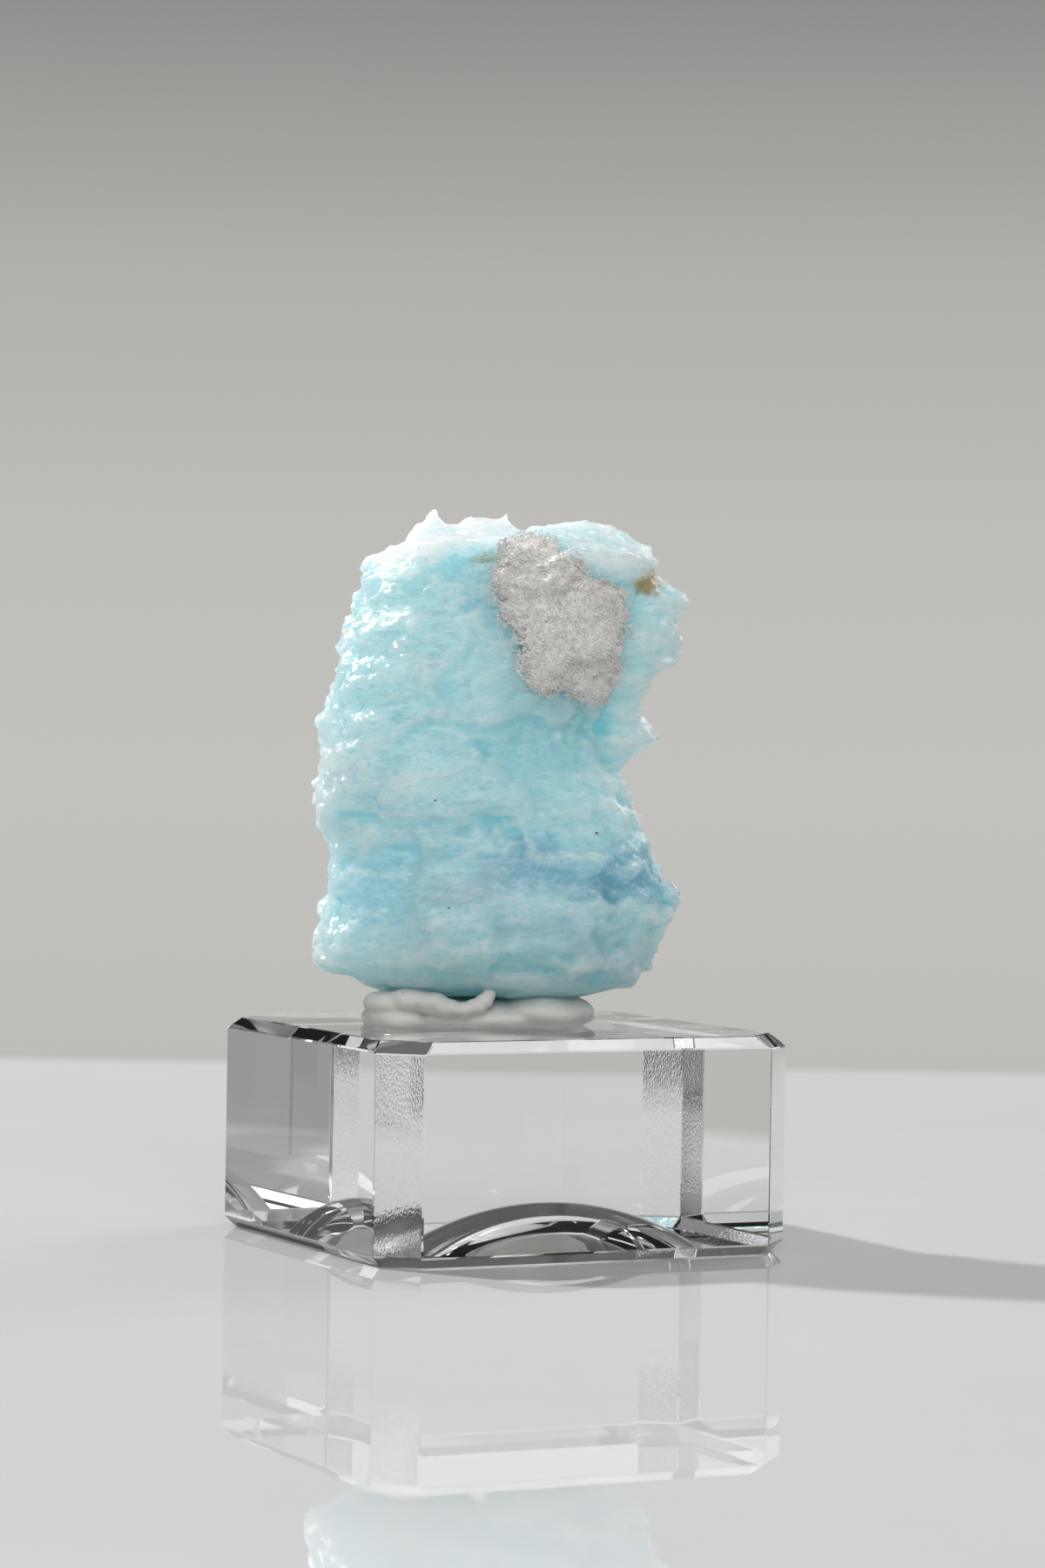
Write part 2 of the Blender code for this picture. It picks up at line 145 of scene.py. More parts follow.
def put_in_scene(name, bm, mat):
    """Make a finished bmesh into one object at the origin."""
    mesh = bpy.data.meshes.new(name)
    bm.to_mesh(mesh)
    bm.free()
    mesh.materials.append(mat)
    obj = bpy.data.objects.new(name, mesh)
    bpy.context.scene.collection.objects.link(obj)
    return obj


world = bpy.data.worlds.new("studio")
bpy.context.scene.world = world
world.use_nodes = True
sky = world.node_tree.nodes["Background"]
direction = add_node(world, "TexCoord").outputs["Generated"]
upward = add_node(world, "SeparateXYZ", {"Vector": direction})
reach = {"Value": upward.outputs["Z"], "From Min": WALL_HEIGHTS[0], "From Max": WALL_HEIGHTS[1]}
wall_height = add_node(world, "MapRange", reach)
wall = add_node(world, "ValToRGB", {"Fac": wall_height})
set_stops(wall, WALL_SHADES)
ahead = Vector((math.sin(-BROAD_SIDE_TURN), math.cos(BROAD_SIDE_TURN), 0.0))
facing = add_node(world, "VectorMath", {0: direction, 1: ahead}, operation="DOT_PRODUCT")
room = wall.outputs["Color"]
for value, (start, end), colour in (
    (facing.outputs["Value"], DARK_TURNS, DARK_SIDE),
    (upward.outputs["Z"], OVERHEAD_HEIGHTS, OVERHEAD),
):
    share = {"Value": value, "From Min": start, "From Max": end}
    share = add_node(world, "MapRange", share, interpolation_type="SMOOTHSTEP")
    mix = {"Factor": share, "A": room, "B": linear(colour)}
    room = add_node(world, "Mix", mix, data_type="RGBA").outputs["Result"]
set_inputs(world, sky, {"Color": room, "Strength": 1.0})

# The tabletop in millimetres: it widens by this much for each millimetre behind a line, reaches this far
# toward the viewer and away, fades out over this width at its rim, and lies just under the block
BOARD_HALF_WIDTH = 100.0
BOARD_WIDENING = 0.5
BOARD_WIDENS_FROM = 150.0
BOARD_NEAR = 330.0
BOARD_FAR = 272.0
BOARD_REACH = BOARD_HALF_WIDTH + BOARD_WIDENING * (BOARD_FAR - BOARD_WIDENS_FROM)
BOARD_EDGE = 20.0
BOARD_SUNK = 0.02
# Painted light: the board is painted lighter under the dish, where the glass gathers light, inside these
# two radii
PAINTED_LIGHT_TO = 19.0
PAINTED_LIGHT_FROM = 14.0
bm = bmesh.new()
bmesh.ops.create_grid(bm, x_segments=1, y_segments=1, size=1.0)
bmesh.ops.scale(bm, verts=bm.verts, vec=Vector((BOARD_REACH, 0.5 * (BOARD_NEAR + BOARD_FAR), 1.0)) * MM)
bmesh.ops.translate(bm, verts=bm.verts, vec=Vector((0.0, 0.5 * (BOARD_FAR - BOARD_NEAR), -BOARD_SUNK)) * MM)
bmesh.ops.rotate(bm, verts=bm.verts, cent=(0.0, 0.0, 0.0), matrix=Matrix.Rotation(BROAD_SIDE_TURN, 3, "Z"))
# Gloss-white acrylic sheet: mirror-like at a low angle, milky from above
acrylic, shader = new_material("gloss_white_acrylic")
at = add_node(acrylic, "TexCoord").outputs["Object"]
squared = add_node(acrylic, "Mapping", {"Vector": at, "Rotation": (0.0, 0.0, -BROAD_SIDE_TURN)})
place = add_node(acrylic, "SeparateXYZ", {"Vector": squared})
sideways = add_node(acrylic, "Math", {0: place.outputs["X"]}, operation="ABSOLUTE")
behind = {0: place.outputs["Y"], 1: BOARD_WIDENS_FROM * MM}
behind = add_node(acrylic, "Math", behind, operation="SUBTRACT")
behind = add_node(acrylic, "Math", {0: behind, 1: 0.0}, operation="MAXIMUM")
widening = add_node(acrylic, "Math", {0: behind, 1: BOARD_WIDENING}, operation="MULTIPLY")
sideways = add_node(acrylic, "Math", {0: sideways, 1: widening}, operation="SUBTRACT")
rim_fade = 1.0
for away, end in ((sideways, BOARD_HALF_WIDTH), (place.outputs["Y"], BOARD_FAR)):
    fade = {"Value": away, "From Min": end * MM, "From Max": (end - BOARD_EDGE) * MM}
    fade = add_node(acrylic, "MapRange", fade)
    rim_fade = add_node(acrylic, "Math", {0: rim_fade, 1: fade}, operation="MULTIPLY")
# Here and in every piece, the scale of a pattern is its cells per millimetre
smears = add_node(acrylic, "TexNoise", {"Vector": at, "Scale": 0.014 / MM, "Detail": 3.0, "Roughness": 0.55})
dull = add_node(acrylic, "MapRange", {"Value": smears.outputs["Fac"], "To Min": 0.0, "To Max": 0.03})
milky = add_node(acrylic, "ValToRGB", {"Fac": smears.outputs["Fac"]})
set_stops(milky, ((0.3, "#D2D2D2"), (0.7, "#CECECE")))
# A pool of light painted on the board under the dish, fading out between the two radii
from_dish = add_node(acrylic, "VectorMath", {0: at}, operation="LENGTH").outputs["Value"]
painted_light_share = {"Value": from_dish, "From Min": PAINTED_LIGHT_TO * MM, "From Max": PAINTED_LIGHT_FROM * MM}
painted_light_share = add_node(acrylic, "MapRange", painted_light_share, interpolation_type="SMOOTHSTEP")
painted_light_under_dish = {"Factor": painted_light_share, "A": milky.outputs["Color"], "B": linear("#FAFAFA")}
milky = add_node(acrylic, "Mix", painted_light_under_dish, data_type="RGBA")
finish = {"Base Color": milky.outputs["Result"], "Roughness": dull, "Alpha": rim_fade, "IOR": 1.25}
set_inputs(acrylic, shader, finish)
table = put_in_scene("tabletop", bm, acrylic)

LIT_POINT = Vector((0.0, 0.0, 50.0)) * MM


def add_light(name, toward, distance, size, power, colour, in_glass=True):
    """A round light in a direction as the viewer sees it: distance and size in metres, power in watts."""
    data = bpy.data.lights.new(name, "AREA")
    data.shape = "DISK"
    data.size = size
    data.energy = power
    data.color = linear(colour)[:3]
    light = bpy.data.objects.new(name, data)
    bpy.context.scene.collection.objects.link(light)
    way = Matrix.Rotation(BROAD_SIDE_TURN, 3, "Z") @ Vector(toward).normalized()
    light.location = LIT_POINT + way * distance
    light.rotation_euler = (-way).to_track_quat("-Z", "Y").to_euler()
    light.visible_camera = False
    light.visible_transmission = in_glass


add_light("window_left", (-0.84, 0.48, 0.93), distance=1.6, size=0.10, power=26.0, colour="#FAFAFC")
add_light("soft_front", (0.1, -0.85, 0.6), distance=1.5, size=1.2, power=9.5, colour="#FFFFFF")
add_light(
    "soft_back_right", (0.65, 0.75, 0.6), distance=1.5, size=0.9, power=8.0, colour="#FFFFFF", in_glass=False
)


# Display block: clear optical glass, sawn square, its corners and edges ground flat and polished,
# with a shallow dish ground into the underside. One upright corner facet is left a little pitted.

# Millimetres: what the upright corners and the edges lose, how far the top corners' bevel runs in and down,
# and the dish's rim, depth and shift to the side
BLOCK_CORNER_CUT = 4.0
EDGE_BEVEL = 1.2
TOP_CORNER_BEVEL_IN = 2.0
TOP_CORNER_BEVEL_DOWN = 1.35
DISH_RIM_RADIUS = 17.6
DISH_DEPTH = 5.0
DISH_ASIDE = 1.5
# The polish takes this much off every edge that bends more than the first angle, and edges that bend
# more than the second still look sharp
EDGE_POLISH = 0.14
POLISHED_ABOVE = math.radians(20.0)
SHARP_ABOVE = math.radians(10.0)
# The near facet's pits come in between these heights, down to this share below them, and are this deep
PITTED_FROM = 13.0
PITTED_TO = 20.0
PITTED_BELOW = 0.10
PIT_DEPTH = 0.32
block_low, block_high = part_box("glass_block")
BLOCK_SIDE = (block_high.x - block_low.x) / MM
BLOCK_HEIGHT = (block_high.z - block_low.z) / MM


def grind(bm, point, normal):
    """Grind one flat facet: everything on the far side of a plane goes."""
    shape = bm.verts[:] + bm.edges[:] + bm.faces[:]
    plane = {"plane_co": Vector(point) * MM, "plane_no": Vector(normal).normalized()}
    cut = bmesh.ops.bisect_plane(bm, geom=shape, clear_outer=True, dist=1e-7, **plane)
    rim = [item for item in cut["geom_cut"] if isinstance(item, bmesh.types.BMEdge)]
    bmesh.ops.contextual_create(bm, geom=rim)


def bake_modifiers(obj):
    """Replace the object's mesh by what its modifiers make of it."""
    graph = bpy.context.evaluated_depsgraph_get()
    graph.update()
    made = bpy.data.meshes.new_from_object(obj.evaluated_get(graph))
    obj.modifiers.clear()
    old = obj.data
    obj.data = made
    bpy.data.meshes.remove(old)


half = BLOCK_SIDE / 2.0
bm = bmesh.new()
bmesh.ops.create_cube(bm, size=1.0)
bmesh.ops.scale(bm, verts=bm.verts, vec=Vector((BLOCK_SIDE, BLOCK_SIDE, BLOCK_HEIGHT)) * MM)
bmesh.ops.translate(bm, verts=bm.verts, vec=Vector((0.0, 0.0, BLOCK_HEIGHT / 2.0)) * MM)
for sx in (-1, 1):
    for sy in (-1, 1):
        grind(bm, (sx * half, sy * (half - BLOCK_CORNER_CUT), 0.0), (sx, sy, 0))
for nx, ny in ((1, 0), (-1, 0), (0, 1), (0, -1)):
    grind(bm, (nx * half, ny * half, BLOCK_HEIGHT - EDGE_BEVEL), (nx, ny, 1))
    grind(bm, (nx * half, ny * half, EDGE_BEVEL), (nx, ny, -1))
for sx in (-1, 1):
    for sy in (-1, 1):
        facet = half - BLOCK_CORNER_CUT / 2.0
        flat = TOP_CORNER_BEVEL_DOWN / math.sqrt(2.0)
        bevel_foot = (sx * facet, sy * facet, BLOCK_HEIGHT - TOP_CORNER_BEVEL_DOWN)
        grind(bm, bevel_foot, (sx * flat, sy * flat, TOP_CORNER_BEVEL_IN))
        grind(bm, (sx * facet, sy * facet, EDGE_BEVEL), (sx / math.sqrt(2.0), sy / math.sqrt(2.0), -1))
bmesh.ops.recalc_face_normals(bm, faces=bm.faces)

# Optical crown glass: colourless and polished, so it shows what lies behind it, bent; the facet toward the
# viewer keeps the grinding wheel's pits, drawn coarser than they are so that they show
crown_glass, shader = new_material("optical_glass")
at = add_node(crown_glass, "TexCoord").outputs["Object"]
face_way = add_node(crown_glass, "NewGeometry").outputs["True Normal"]
near_corner = (-math.sqrt(0.5), -math.sqrt(0.5), 0.0)
cornerwise = add_node(crown_glass, "VectorMath", {0: face_way, 1: near_corner}, operation="DOT_PRODUCT")
near_facet = {"Value": cornerwise.outputs["Value"], "From Min": 0.96, "From Max": 0.99}
near_facet = add_node(crown_glass, "MapRange", near_facet)
height = add_node(crown_glass, "SeparateXYZ", {"Vector": at}).outputs["Z"]
upper = {"Value": height, "From Min": PITTED_FROM * MM, "From Max": PITTED_TO * MM, "To Min": PITTED_BELOW}
upper = add_node(crown_glass, "MapRange", upper)
pitted = add_node(crown_glass, "Math", {0: near_facet, 1: upper}, operation="MULTIPLY")
upright = add_node(crown_glass, "Mapping", {"Vector": at, "Scale": (1.0, 1.0, 0.35)})
pits = add_node(crown_glass, "TexVoronoi", {"Vector": upright, "Scale": 6.4 / MM}, feature="F1")
drag = {"Vector": upright, "Scale": 7.0 / MM, "Detail": 2.0, "Roughness": 0.6}
drag = add_node(crown_glass, "TexNoise", drag)
pits = add_node(crown_glass, "Math", {0: pits.outputs["Distance"], 1: drag.outputs["Fac"]}, operation="ADD")
pitting = {"Strength": pitted, "Distance": PIT_DEPTH * MM, "Height": pits}
pitting = add_node(crown_glass, "Bump", pitting)
wiped = add_node(crown_glass, "TexNoise", {"Vector": at, "Scale": 0.06 / MM, "Detail": 4.0, "Roughness": 0.7})
haze = {"Value": wiped.outputs["Fac"], "From Min": 0.45, "From Max": 0.9, "To Min": 0.0, "To Max": 0.03}
haze = add_node(crown_glass, "MapRange", haze)
finish = {"Base Color": linear("#FBFCFC"), "Roughness": haze, "Normal": pitting}
set_inputs(crown_glass, shader, {**finish, "Transmission Weight": 1.0, "IOR": 1.51})

block = put_in_scene("cut_glass_block", bm, crown_glass)
dish_sphere_radius = (DISH_RIM_RADIUS**2 + DISH_DEPTH**2) / (2.0 * DISH_DEPTH)
bm = bmesh.new()
bmesh.ops.create_uvsphere(bm, u_segments=160, v_segments=160, radius=dish_sphere_radius * MM)
bmesh.ops.translate(bm, verts=bm.verts, vec=Vector((DISH_ASIDE, 0.0, DISH_DEPTH - dish_sphere_radius)) * MM)
dish = put_in_scene("dish_cutter", bm, crown_glass)
cut = block.modifiers.new("dish", "BOOLEAN")
cut.operation = "DIFFERENCE"
cut.object = dish
bake_modifiers(block)
bpy.data.objects.remove(dish, do_unlink=True)
rounding = block.modifiers.new("edge_polish", "BEVEL")
rounding.width = EDGE_POLISH * MM
rounding.segments = 1
rounding.limit_method = "ANGLE"
rounding.angle_limit = POLISHED_ABOVE
bake_modifiers(block)
block.data.shade_smooth()
block.data.set_sharp_from_angle(angle=SHARP_ABOVE)
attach(block, "root")
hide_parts("glass_block")


# Mineral tack: a palm-rolled pad of white putty, squeezed out round the crystal's foot,
# its left end folded over on itself at the front. It is soft, satin, and keeps finger marks.

# Lumps of the pad, then of the folded end, which narrows and rises to the right: middle and half sizes
TACK_LUMPS = (
    (-2.6, 0.4, 25.2, 13.2, 8.6, 2.2),
    (4.6, -0.4, 25.9, 5.8, 7.8, 2.2),
    (-11.6, -2.8, 25.0, 4.4, 6.0, 1.9),
    (-12.2, -5.4, 25.4, 3.2, 3.2, 1.4),
    (-12.6, -6.0, 26.7, 3.0, 2.8, 1.6),
    (-10.2, -7.0, 27.3, 2.8, 2.4, 1.4),
    (-8.0, -7.6, 27.0, 2.2, 2.0, 1.2),
    (-6.2, -8.0, 26.5, 1.8, 1.6, 1.0),
    (-4.4, -8.2, 26.3, 1.6, 1.4, 0.9),
    (-2.9, -8.1, 26.7, 1.3, 1.3, 0.9),
    (-2.0, -7.9, 27.4, 1.0, 1.2, 0.9),
    (-1.5, -7.7, 28.1, 0.8, 1.0, 0.8),
)
TACK_GRID = 0.2
# Its skin swells, as pairs of pace per millimetre and reach, and it stands this far off the glass
TACK_SWELLS = ((0.35, 0.22), (1.3, 0.07))
TACK_LIFT = 0.02


def add_lumps(bm, rows):
    """Overlapping ellipsoids: each row holds a middle and three half sizes, as the viewer sees them."""
    for x, y, z, half_x, half_y, half_z in rows:
        size = Matrix.Diagonal((half_x * MM, half_y * MM, half_z * MM, 1.0))
        place = Matrix.Translation(Vector((x, y, z)) * MM)
        bmesh.ops.create_uvsphere(bm, u_segments=48, v_segments=32, radius=1.0, matrix=place @ size)


def even_skin(obj, grid):
    """Join the overlapping lumps of one object into one even skin."""
    modifier = obj.modifiers.new("even_skin", "REMESH")
    modifier.mode = "VOXEL"
    modifier.voxel_size = grid * MM
    modifier.adaptivity = 0.0
    bake_modifiers(obj)


def soften(obj, rounds):
    """Even out the skin by smoothing its points."""
    bm = bmesh.new()
    bm.from_mesh(obj.data)
    every_way = {"use_axis_x": True, "use_axis_y": True, "use_axis_z": True}
    for _ in range(rounds):
        bmesh.ops.smooth_vert(bm, verts=bm.verts, factor=0.5, **every_way)
    bm.to_mesh(obj.data)
    bm.free()


def turn_to_place(obj):
    """Turn a piece made facing the viewer to where it stands on the block."""
    obj.data.transform(Matrix.Rotation(BROAD_SIDE_TURN, 4, "Z"))


# White reusable putty: fine, slightly oily filler, so satin and faintly translucent at its thin edges
putty, shader = new_material("white_putty")
at = add_node(putty, "TexCoord").outputs["Object"]
cloudy = add_node(putty, "TexNoise", {"Vector": at, "Scale": 0.26 / MM, "Detail": 5.0, "Roughness": 0.6})
tone = add_node(putty, "ValToRGB", {"Fac": cloudy.outputs["Fac"]})
set_stops(tone, ((0.25, "#D9D6D0"), (0.55, "#E4E2DD"), (0.8, "#EBE9E5")))
grit = add_node(putty, "TexVoronoi", {"Vector": at, "Scale": 0.42 / MM, "Randomness": 1.0})
speck = {"Value": grit.outputs["Distance"], "From Min": 0.06, "From Max": 0.10, "To Min": 1.0, "To Max": 0.0}
speck = add_node(putty, "MapRange", speck)
patch = add_node(putty, "TexNoise", {"Vector": at, "Scale": 0.13 / MM, "Detail": 2.0})
where = add_node(putty, "MapRange", {"Value": patch.outputs["Fac"], "From Min": 0.56, "From Max": 0.64})
dirt = add_node(putty, "Math", {0: speck, 1: where}, operation="MULTIPLY")
soiled = {"Factor": dirt, "A": tone.outputs["Color"], "B": linear("#8E857A")}
soiled = add_node(putty, "Mix", soiled, data_type="RGBA")
marks = add_node(putty, "TexNoise", {"Vector": at, "Scale": 0.7 / MM, "Detail": 4.0, "Roughness": 0.6})
skin = add_node(putty, "Bump", {"Strength": 0.35, "Distance": 0.1 * MM, "Height": marks.outputs["Fac"]})
satin = add_node(putty, "MapRange", {"Value": cloudy.outputs["Fac"], "To Min": 0.42, "To Max": 0.62})
finish = {"Base Color": soiled.outputs["Result"], "Roughness": satin, "Normal": skin}
glow = {"Subsurface Weight": 0.4, "Subsurface Scale": 1.2 * MM, "Subsurface Radius": (1.0, 0.85, 0.7)}
set_inputs(putty, shader, {**finish, **glow})

bm = bmesh.new()
add_lumps(bm, TACK_LUMPS)
tack = put_in_scene("tack_pad", bm, putty)
even_skin(tack, TACK_GRID)
soften(tack, 2)
foot = BLOCK_HEIGHT + TACK_LIFT
for vert in tack.data.vertices:
    spot = vert.co / MM
    swell = sum(reach * noise.noise(spot * pace) for pace, reach in TACK_SWELLS)
    lifted = vert.co.z / MM + swell
    vert.co.z = max(foot, lifted) * MM
turn_to_place(tack)
tack.data.shade_smooth()
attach(tack, "root")
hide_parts("mineral_tack")


# Aquamarine crystal: one beryl crystal lying on its side, so that its length runs from left to right.
# It dissolved in part while it lay in its pocket, which left plates, ledges and ragged ends in its skin.
# It is pressed down into the tack.

# Sections of the crystal's main mass, seen from its broad side, in millimetres:
# height, left end, right end, front, back
MAIN_SECTIONS = (
    (27.4, -12.6, 9.2, -5.0, 6.0),
    (28.4, -16.0, 12.6, -8.0, 8.0),
    (29.6, -18.8, 14.6, -9.8, 9.6),
    (31.0, -21.7, 17.4, -11.0, 10.6),
    (32.3, -21.9, 18.0, -11.6, 11.0),
    (33.5, -21.8, 17.6, -12.2, 11.4),
    (36.0, -20.9, 18.8, -12.8, 12.0),
    (38.0, -21.0, 21.0, -12.8, 12.4),
    (40.5, -21.0, 19.6, -12.4, 12.6),
    (43.5, -20.3, 17.9, -11.6, 12.6),
    (46.0, -21.4, 16.6, -11.8, 12.6),
    (47.7, -22.3, 16.4, -12.2, 12.6),
    (49.0, -22.0, 15.4, -12.6, 12.6),
    (52.0, -21.5, 13.2, -12.8, 12.4),
    (55.0, -21.8, 11.0, -12.8, 12.0),
    (58.0, -21.7, 11.2, -12.6, 11.6),
    (61.0, -20.6, 11.8, -12.2, 11.2),
    (64.5, -19.9, 12.8, -11.8, 10.8),
    (68.0, -19.0, 14.0, -11.0, 10.2),
    (72.0, -18.1, 15.6, -9.8, 9.4),
    (75.4, -17.4, 17.4, -9.0, 8.6),
    (76.6, -16.1, 17.4, -7.8, 8.0),
    (78.0, -12.4, 17.0, -5.8, 7.0),
    (79.2, -10.6, 16.7, -3.8, 6.0),
    (80.2, -9.4, 15.0, -2.2, 5.0),
    (81.2, -8.0, 13.0, -1.0, 4.0),
)
# Teeth along the top ridge, and a lens-shaped flake low on the right: place sideways, in depth and in
# height, then half sizes along each
TEETH = (
    (-9.8, 0.5, 78.6, 2.4, 2.2, 1.9),
    (-8.4, 0.7, 80.2, 2.1, 2.0, 2.3),
    (-4.0, 0.9, 80.9, 2.6, 1.9, 1.8),
    (-3.0, 0.9, 81.0, 2.1, 1.8, 1.7),
    (-0.4, 0.9, 81.2, 1.4, 1.5, 1.8),
    (12.6, -3.5, 30.9, 4.5, 6.0, 2.4),
)
# Sections of the thinner sheet behind it, which shows past its right-hand edge
REAR_SECTIONS = (
    (49.6, 0.0, 12.0, 0.5, 8.5),
    (51.6, 0.5, 14.5, -0.6, 9.2),
    (53.2, 1.0, 12.7, -1.0, 9.4),
    (55.2, 1.5, 15.8, -1.6, 9.6),
    (56.6, 1.5, 18.2, -2.0, 9.6),
    (57.8, 1.5, 17.5, -2.0, 9.6),
    (59.2, 1.5, 16.4, -2.2, 9.4),
    (61.0, 2.0, 15.8, -2.4, 9.2),
    (62.6, 2.0, 16.8, -2.8, 9.0),
    (64.0, 2.0, 19.0, -3.2, 8.8),
    (65.2, 2.5, 20.8, -3.6, 8.8),
    (66.7, 2.5, 19.9, -3.7, 8.8),
    (68.0, 2.5, 20.5, -3.8, 8.8),
    (69.4, 2.5, 19.3, -3.8, 8.8),
    (70.4, 3.0, 18.6, -3.8, 8.6),
    (71.6, 3.0, 21.0, -3.6, 8.4),
    (73.0, 3.0, 20.8, -3.5, 8.2),
    (73.9, 3.5, 18.8, -3.4, 8.0),
    (74.8, 4.0, 17.8, -3.0, 7.4),
)
SECTION_POWER = 2.7
# The first and last point of a loft lie closer to its axis than this, on a ball of radius 1
POLE = 0.001
# Raised left-hand mass on the front: its edge as pairs of height and distance from the middle, how far
# its edge wanders, its step, and the heights between which it shows
LEFT_MASS_EDGE = (
    (47.5, 3.5),
    (50.0, 3.0),
    (51.5, 1.9),
    (54.4, -2.1),
    (58.0, -5.4),
    (62.2, -7.6),
    (66.0, -4.6),
    (76.0, 0.5),
)
LEFT_MASS_WANDER = 1.6
LEFT_MASS_STEP = 1.1
LEFT_MASS_FOOT = 48.0
LEFT_MASS_TOP = 78.0
# Raised plate on the lower front: middle, half width, height of its middle, half height, step
LOWER_PLATE = (0.6, 10.2, 38.0, 6.6, 0.9)
LOWER_PLATE_WANDER = 0.16
LOWER_PLATE_SOFTNESS = 0.033
# Broad hollow under the crust: middle, half width, height of its middle, half height and depth, and
# how steep its rim is
FRONT_HOLLOW = (5.0, 6.6, 56.6, 6.4, 2.0)
HOLLOW_RIM = 3.0
# Groove across the front below the left-hand mass: height at the middle, slope, half width, depth
# and right end
FRONT_GROOVE = (52.0, 0.22, 1.6, 0.5, 1.0)
# Cap that overhangs the front along the top: its lower edge as pairs of place and height, its ledge,
# how far above the edge it fades, how far it wanders, and how soft its edge is
CAP_EDGE = ((-18.0, 75.4), (-2.0, 77.0), (6.0, 76.4), (10.8, 74.6), (18.0, 74.3))
CAP_LEDGE = 0.7
CAP_FADE = 2.4
CAP_WANDER = 0.3
CAP_SOFTNESS = 0.12
# How soft the left-hand mass's edge is
STEP_SOFTNESS = 0.22

# Etched plates in three sizes: size along the crystal's length, through it and up it, and step height
COARSE_PLATES = (9.0, 5.5, 4.2, 0.34)
FINE_PLATES = (4.6, 2.4, 1.7, 0.14)
SMALL_PLATES = (2.2, 1.0, 0.7, 0.05)
COARSE_SEED = 3.1
FINE_SEED = 7.7
SMALL_SEED = 11.3
# Rise of a plate that leans, as a share of its length
PLATE_LEAN = 0.045
# The noise behind the ragged outlines starts from this seed, so each run gives the same crystal
NOISE_SEED = 5
noise.seed_set(NOISE_SEED)
# Ragged outline of a plate, as pairs of pace and reach in plate sizes
PLATE_RAGS = ((2.3, 0.224), (5.9, 0.096))
# Factors that spread the plates' own steps and leans, so that neighbours differ
STEP_KEY = 517.0
LEAN_KEY = 731.0
# Rods along the length end unevenly at both ends of the crystal: width and height of a thick rod, the
# run over which it keeps its end, its rag's pace and reach, how much finer the thin rods are and their
# share, and how far the left and the right ends reach
THICK_ROD = (4.0, 2.3)
ROD_RUN = 25.0
ROD_RAG_PACE = 1.7
ROD_RAG = 0.25
THIN_ROD_PACE = 2.3
THIN_ROD_SHARE = 0.3
LEFT_RODS = 0.45
RIGHT_RODS = 0.5
# The striations rise to the right on the left-hand side and level out to the right: slope and bend
GRAIN_SLOPE = 0.09
GRAIN_BEND = 0.0035
# Slow wander of the forms' edges, as pairs of pace and share
WANDER = ((0.55, 1.0), (1.7, 0.5))
# The relief dies out over this height above the foot's level, down to this share
FOOT_LEVEL = 27.0
FOOT_CALM = 3.0
FOOT_RELIEF = 0.25
# Point spacing of the skin before the relief is pressed in, and after
LOFT_GRID = 0.42
CRYSTAL_GRID = 0.335


def loft(sections, bm):
    """A skin through horizontal sections, each a rounded rectangle, closed flat at both ends."""
    table = np.array(sections)
    made = bmesh.ops.create_uvsphere(bm, u_segments=160, v_segments=140, radius=1.0)
    low, high = table[0, 0], table[-1, 0]
    for vert in made["verts"]:
        level = low + (high - low) * (0.5 + 0.5 * max(-1.0, min(1.0, vert.co.z)))
        left, right, front, back = (np.interp(level, table[:, 0], table[:, k]) for k in (1, 2, 3, 4))
        outward = Vector((vert.co.x, vert.co.y))
        if outward.length < POLE:
            outward.zero()
        outward.normalize()
        across, through = (math.copysign(abs(side) ** (2.0 / SECTION_POWER), side) for side in outward)
        vert.co.x = 0.5 * (left + right + across * (right - left)) * MM
        vert.co.y = 0.5 * (front + back + through * (back - front)) * MM
        vert.co.z = level * MM


def pick(feature, key):
    """A random number from -1 to 1 that belongs to one cell of a pattern."""
    return 2.0 * noise.cell(feature * key) - 1.0


def plates(place, sizes, seed):
    """Step height, in millimetres, of the etched plate that a place on the skin belongs to."""
    along, through, up, step = sizes
    spot = Vector((place.x / along, place.y / through, place.z / up))
    aside = Vector((seed, seed, seed))
    ragged = spot + aside
    for pace, reach in PLATE_RAGS:
        ragged += noise.noise_vector(spot * pace + aside) * reach
    feature = noise.voronoi(ragged)[1][0]
    lean = (ragged - feature).dot(noise.cell_vector(feature * LEAN_KEY) - Vector((0.5, 0.5, 0.5)))
    return step * pick(feature, STEP_KEY) + along * PLATE_LEAN * lean


def rod_ends(place):
    """How far the rod that ends at a place reaches out, from -1 to 1."""
    spot = Vector((place.x / ROD_RUN, place.y / THICK_ROD[0], place.z / THICK_ROD[1]))
    spot += noise.noise_vector(spot * ROD_RAG_PACE) * ROD_RAG
    thick = noise.voronoi(spot)[1][0]
    thin = noise.voronoi(spot * THIN_ROD_PACE)[1][0]
    return (1.0 - THIN_ROD_SHARE) * pick(thick, STEP_KEY) + THIN_ROD_SHARE * pick(thin, STEP_KEY)


def rise(distance, softness):
    """A soft step from 0 to 1 across a line, at a distance from it in millimetres."""
    return 1.0 / (1.0 + math.exp(-distance / softness))


